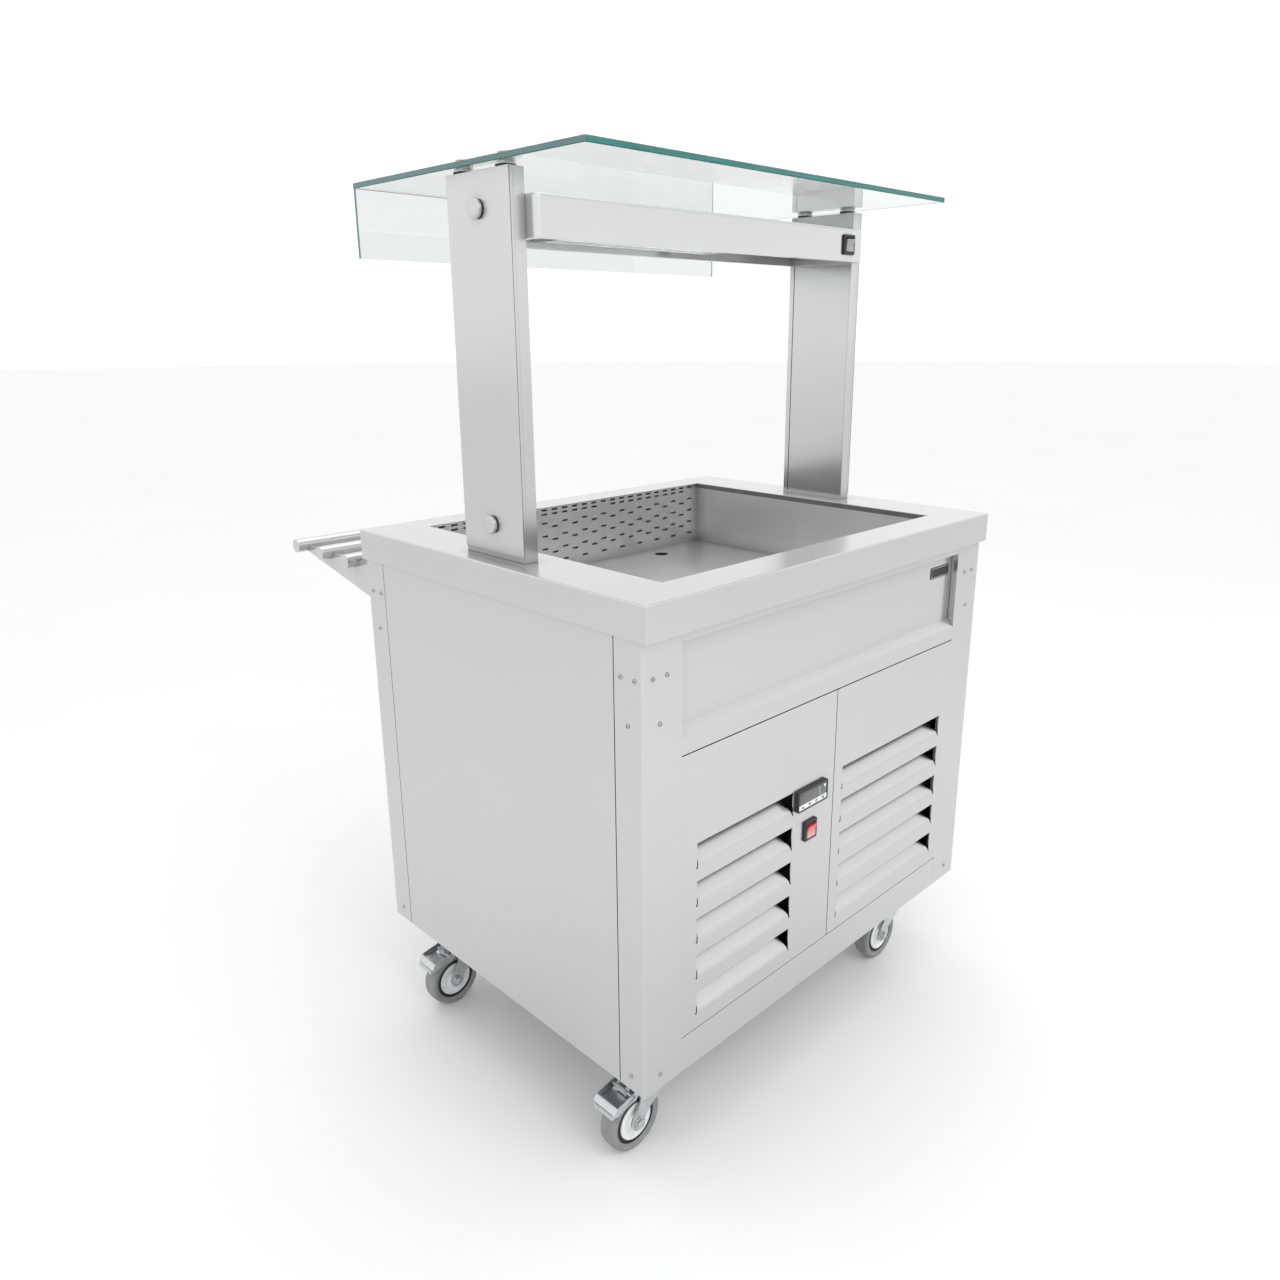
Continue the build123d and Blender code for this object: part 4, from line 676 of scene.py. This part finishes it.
# ---------------------------------------------------------------- seams of the posts
SEAM_WIDTH = 0.9 * MM
FOLD_WIDTH = 0.5 * MM
FOLD_IN = 5.5 * MM
SEAM_FOOT = 8.0 * MM
bm_seams, bm_folds = bmesh.new(), bmesh.new()
for post in ("post_channel_left", "post_channel_right"):
    low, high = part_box(post)
    outer_x, inward = (high.x, -1) if high.x > 0 else (low.x, 1)
    length = high.z - low.z - SEAM_FOOT
    for y, outwards in ((low.y, -1), (high.y, 1)):
        middle_z = high.z - length / 2
        prism(bm_seams, rounded(SEAM_WIDTH, length, 0.2 * MM), (outer_x, y, middle_z), (0, outwards, 0),
              0.05 * MM, 0.0, 0, (1, 0, 0))
        prism(bm_folds, rounded(FOLD_WIDTH, length, 0.1 * MM), (outer_x + inward * FOLD_IN, y, middle_z),
              (0, outwards, 0), 0.04 * MM, 0.0, 0, (1, 0, 0))
add_piece("post_seams", bm_seams, [black_strip], "root")
# post_folds: thin strips of the darkened steel, painted shade along the fold of each post cover
add_piece("post_folds", bm_folds, [steel_dark_shade], "root")

# ---------------------------------------------------------------- casters
TYRE_PROFILE = [(37.0, -12.5), (38.6, -13.2), (41.0, -14.6), (44.0, -15.6), (46.6, -15.2), (48.4, -13.4),
                (49.4, -10.5), (49.85, -7.0), (50.0, -3.0), (50.0, -0.25), (49.8, 0.0), (50.0, 0.25),
                (50.0, 3.0), (49.85, 7.0), (49.4, 10.5), (48.4, 13.4), (46.6, 15.2), (44.0, 15.6),
                (41.0, 14.6), (38.6, 13.2), (37.0, 12.5)]
HUB_SIDE = [(37.4, 9.0), (37.4, 12.8), (36.2, 13.3), (35.6, 12.6), (35.2, 11.6), (31.6, 11.6), (31.2, 12.2),
            (31.0, 13.6), (30.2, 14.4), (29.0, 14.4), (28.2, 13.4), (27.4, 12.4), (25.5, 12.0), (24.4, 12.6),
            (23.4, 12.7), (22.4, 12.1), (15.5, 11.2), (13.8, 11.8), (13.0, 14.2), (12.2, 15.0), (8.2, 15.0),
            (7.4, 14.4), (4.1, 14.4), (4.1, 13.0)]
HUB_PAINT = 6 * [1] + 15 * [0] + 2 * [2]
WASHER = [(9.4, 0.0), (9.4, 1.0), (9.0, 1.4), (0.0, 1.4)]
AXLE_TIP = [(3.9, 4.8), (3.9, 5.6), (3.2, 6.0), (0.0, 6.0)]
RACE_CUP = [(27.4, 125.9), (27.4, 119.2), (27.9, 118.6), (28.6, 118.8), (29.2, 119.8), (29.4, 122.0),
            (30.4, 124.6), (32.0, 125.9)]
CHEEK_OUT = 21.2 * MM        # outer face of the fork's cheek from the wheel's middle
TRAIL = 39.0 * MM            # axle behind the kingpin
NUT_RADIUS = 8.1 * MM
NUT_TURN = 0.3
NUT_SEAT = 1.2 * MM
NUT_HEIGHT = 3.9 * MM
NUT_ROUND = 0.7 * MM
for corner in CORNERS:
    low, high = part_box(f"caster_wheel_{corner}")
    axle = (low + high) / 2
    body = f"wheel_{corner}"
    bm = bmesh.new()
    lathe(bm, [(r * MM, h * MM) for r, h in TYRE_PROFILE], axle, (0, 1, 0), 96)
    add_piece(f"tyre_{corner}", bm, [tyre_rubber], body, (f"caster_wheel_{corner}",), 50)
    bm = bmesh.new()
    for side in (-1, 1):
        lathe(bm, [(r * MM, h * MM) for r, h in HUB_SIDE], axle, (0, side, 0), 72, HUB_PAINT)
    add_piece(f"hub_{corner}", bm, [hub_plastic, ring_rubber, zinc_plate], body, (), 30)

    bm = bmesh.new()
    for side in (-1, 1):
        cheek = axle.y + side * CHEEK_OUT
        for profile, steps in ((WASHER, 40), (AXLE_TIP, 24)):
            lathe(bm, [(r * MM, h * MM) for r, h in profile], (axle.x, cheek, axle.z), (0, side, 0), steps)
        prism(bm, circle(NUT_RADIUS, 6, NUT_TURN), (axle.x, cheek + side * NUT_SEAT, axle.z), (0, side, 0),
              NUT_HEIGHT, NUT_ROUND)
    add_piece(f"axle_nuts_{corner}", bm, [zinc_plate], f"fork_{corner}", (), 30)

    bm = bmesh.new()
    lathe(bm, [(r * MM, h * MM) for r, h in RACE_CUP], (axle.x + TRAIL, axle.y, 0), (0, 0, 1), 64)
    add_piece(f"race_cup_{corner}", bm, [zinc_plate], "root", (), 40)

# ---------------------------------------------------------------- badge
low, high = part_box("nameplate")
face_y, middle = low.y, (low + high) / 2
width, height = high.x - low.x, high.z - low.z
OUT = (0, -1, 0)
bm = bmesh.new()
# Each step of the plate: how much smaller, corner radius, base, thickness, rounding and material.
for inset, radius, base_y, thick, bevel, paint in (
        (0.0, 1.6, high.y, 1.0, 0.25, 0),
        (2.6, 1.0, face_y, 0.12, 0.0, 1),
        (4.4, 0.7, face_y - 0.12 * MM, 0.08, 0.0, 0)):
    prism(bm, rounded(width - inset * MM, height - inset * MM, radius * MM), (middle.x, base_y, middle.z),
          OUT, thick * MM, bevel * MM, paint, (1, 0, 0))
add_piece("badge_plate", bm, [badge_dark, badge_light], "root", ("nameplate",))

# ---------------------------------------------------------------- controller face
low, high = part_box("controller_body")
face_y = low.y + 1.0 * MM
middle_x = (low.x + high.x) / 2
buttons = [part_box(f"controller_button_{n}") for n in range(1, 5)]
button_z = (buttons[0][0].z + buttons[0][1].z) / 2
panel_low, panel_high = button_z - 4.2 * MM, button_z + 4.4 * MM
half = (high.x - low.x) / 2 - 3.0 * MM

bm = bmesh.new()
gaps_x = [middle_x - half]
for number in range(4):
    gaps_x += [buttons[number][0].x - 0.25 * MM, buttons[number][1].x + 0.25 * MM]
gaps_x.append(middle_x + half)
gaps_x.sort()
gaps_z = [panel_low, buttons[0][0].z - 0.25 * MM, buttons[0][1].z + 0.25 * MM, panel_high]
for column in range(len(gaps_x) - 1):
    for row in range(3):
        if row == 1 and column % 2:
            continue
        x0, x1, z0, z1 = gaps_x[column], gaps_x[column + 1], gaps_z[row], gaps_z[row + 1]
        if x1 - x0 > 1e-5 and z1 - z0 > 1e-5:
            bm.faces.new([bm.verts.new((x, face_y - 0.25 * MM, z))
                          for x, z in ((x0, z0), (x1, z0), (x1, z1), (x0, z1))])
bmesh.ops.remove_doubles(bm, verts=bm.verts, dist=1e-6)
extruded = bmesh.ops.extrude_face_region(bm, geom=list(bm.faces))
bmesh.ops.translate(bm, verts=[v for v in extruded["geom"] if isinstance(v, bmesh.types.BMVert)],
                    vec=(0, 0.25 * MM, 0))
add_piece("button_surround", bm, [white_plastic], "root")

window_low, window_high = panel_high + 0.6 * MM, high.z - 3.2 * MM
window_middle = (window_low + window_high) / 2
bm = bmesh.new()
prism(bm, rounded(2 * half, window_high - window_low, 1.2 * MM), (middle_x, face_y, window_middle), OUT,
      0.5 * MM, 0.2 * MM, 0, (1, 0, 0))
add_piece("display_window", bm, [window_dark], "root")

DIGIT = (7.4 * MM, 12.0 * MM)
SEGMENT = 1.1 * MM
INK = 0.03 * MM              # height of a printed mark


def segment(bm, x, z, length, upright):
    """One flat hexagonal bar of a seven-segment digit."""
    half_bar, half_width = length / 2 - 0.25 * MM, SEGMENT / 2
    outline = [(-half_bar, 0), (-half_bar + half_width, half_width), (half_bar - half_width, half_width),
               (half_bar, 0), (half_bar - half_width, -half_width), (-half_bar + half_width, -half_width)]
    if upright:
        outline = [(-b, a) for a, b in outline]
    prism(bm, outline, (x, face_y - 0.5 * MM, z), OUT, INK, 0.0, 0, (1, 0, 0))


bm = bmesh.new()
for number in range(3):
    x = middle_x - 20 * MM + number * 11.5 * MM
    for dz in (-1, 0, 1):
        segment(bm, x, window_middle + dz * DIGIT[1] / 2, DIGIT[0], False)
    for dx in (-1, 1):
        for dz in (-1, 1):
            segment(bm, x + dx * DIGIT[0] / 2, window_middle + dz * DIGIT[1] / 4, DIGIT[1] / 2, True)
add_piece("display_digits", bm, [digit_off], "root")

bm = bmesh.new()
for number in range(4):
    prism(bm, rounded(2.2 * MM, 1.5 * MM, 0.4 * MM), (middle_x + 16.5 * MM, face_y - 0.5 * MM,
          window_middle + (number - 1.5) * 3.6 * MM), OUT, INK, 0.0, 0, (1, 0, 0))
prism(bm, rounded(4.2 * MM, 4.6 * MM, 1.2 * MM), (middle_x + 30.5 * MM, face_y - 0.5 * MM,
      window_middle + 4.6 * MM), OUT, INK, 0.0, 0, (1, 0, 0))
add_piece("display_icons", bm, [icon_white], "root")


def button_icon(bm, number, x, z, y):
    """Plain symbols: up, down, ring with a stroke, and three bars."""
    base = (x, y, z)
    if number in (1, 2):
        sign = 1 if number == 1 else -1
        arrow = [(-3.6 * MM, -2.2 * MM * sign), (3.6 * MM, -2.2 * MM * sign), (0, 2.4 * MM * sign)]
        prism(bm, arrow[::sign], base, OUT, INK, 0.0, 0, (1, 0, 0))
    elif number == 3:
        for k in range(10):
            a0, a1 = math.radians(120 + k * 30), math.radians(120 + (k + 1) * 30)
            prism(bm, [(r * math.cos(a), r * math.sin(a)) for r, a in
                       ((1.3 * MM, a0), (2.7 * MM, a0), (2.7 * MM, a1), (1.3 * MM, a1))],
                  base, OUT, INK, 0.0, 0, (1, 0, 0))
        stroke = rounded(1.2 * MM, 2.6 * MM, 0.4 * MM)
        prism(bm, stroke, (x, y, z + 1.5 * MM), OUT, INK, 0.0, 0, (1, 0, 0))
    else:
        bar = rounded(7.0 * MM, 1.2 * MM, 0.4 * MM)
        for dz in (-1.8, 0, 1.8):
            prism(bm, bar, (x, y, z + dz * MM), OUT, INK, 0.0, 0, (1, 0, 0))


for number, (low, high) in enumerate(buttons, start=1):
    bm = bmesh.new()
    button_icon(bm, number, (low.x + high.x) / 2, (low.z + high.z) / 2, low.y)
    add_piece(f"button_icon_{number}", bm, [icon_ink], f"button_{number}")

# ---------------------------------------------------------------- lamp under the canopy
low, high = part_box("canopy_light")
length, middle = high.x - low.x, (low + high) / 2
bm = bmesh.new()
prism(bm, rounded(length, high.y - low.y, 3 * MM), (middle.x, middle.y, high.z), (0, 0, -1), 2.5 * MM,
      0.6 * MM, 0, (1, 0, 0))
for dx in (-1, 1):
    prism(bm, rounded(12 * MM, high.y - low.y - 6 * MM, 2 * MM),
          (middle.x + dx * (length / 2 - 8 * MM), middle.y, high.z - 2.5 * MM), (0, 0, -1), 7.0 * MM,
          0.8 * MM, 0, (1, 0, 0))
add_piece("lamp_base", bm, [white_plastic], "root", ("canopy_light",))
bm = bmesh.new()
for dy in (-1, 1):
    tube_end, tube_shoulder = length / 2 - 14 * MM, length / 2 - 16 * MM
    lathe(bm, [(0.0, -tube_end), (3.0 * MM, -tube_end), (3.5 * MM, -tube_shoulder),
               (3.5 * MM, tube_shoulder), (3.0 * MM, tube_end), (0.0, tube_end)],
          (middle.x, middle.y + dy * 17 * MM, high.z - 6.4 * MM), (1, 0, 0), 28)
add_piece("lamp_tubes", bm, [tube_white], "root")

COVER_RIBS = 26
half_y, depth = (high.y - low.y) / 2, high.z - low.z
outer = []
for k in range(4 * COVER_RIBS + 1):
    t = -1 + 2 * k / (4 * COVER_RIBS)
    rise = depth * (abs(t) ** 6)
    rib = 0.5 * MM * (0.5 + 0.5 * math.cos(math.pi * k / 2)) * (1 - t ** 8)
    outer.append((t * half_y, low.z + rise * 0.92 + 0.5 * MM - rib))
inner = [(y * 0.975, z + 1.0 * MM) for y, z in outer][::-1]
ring = outer + inner
bm = bmesh.new()
ends = []
for x in (low.x, low.x + 2 * MM, high.x - 2 * MM, high.x):
    ends.append([bm.verts.new((x, middle.y + y, min(z, high.z))) for y, z in ring])
for first, second in zip(ends, ends[1:]):
    for k in range(len(ring)):
        bm.faces.new((first[k], first[(k + 1) % len(ring)], second[(k + 1) % len(ring)], second[k]))
count = len(outer)
for end in (ends[0], ends[-1]):
    for k in range(count - 1):
        bm.faces.new((end[k], end[k + 1], end[2 * count - 2 - k], end[2 * count - 1 - k]))
add_piece("lamp_cover", bm, [lens_clear], "root", (), 24)

# ---------------------------------------------------------------- recess screws
SCREW_PROFILE = [(4.0, 0.0), (4.0, 0.6), (3.4, 1.7), (2.0, 2.4), (1.3, 2.5), (1.2, 1.2), (0.0, 1.2)]
canopy_low, canopy_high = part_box("light_canopy")
bm = bmesh.new()
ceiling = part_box("canopy_light")[1].z
for x in (canopy_low.x + 40 * MM, canopy_high.x - 40 * MM, canopy_high.x - 210 * MM):
    for y in (middle.y - 46 * MM, middle.y + 46 * MM):
        lathe(bm, [(r * MM, h * MM) for r, h in SCREW_PROFILE], (x, y, ceiling), (0, 0, -1), 28)
add_piece("recess_screws", bm, [steel_bright], "root")
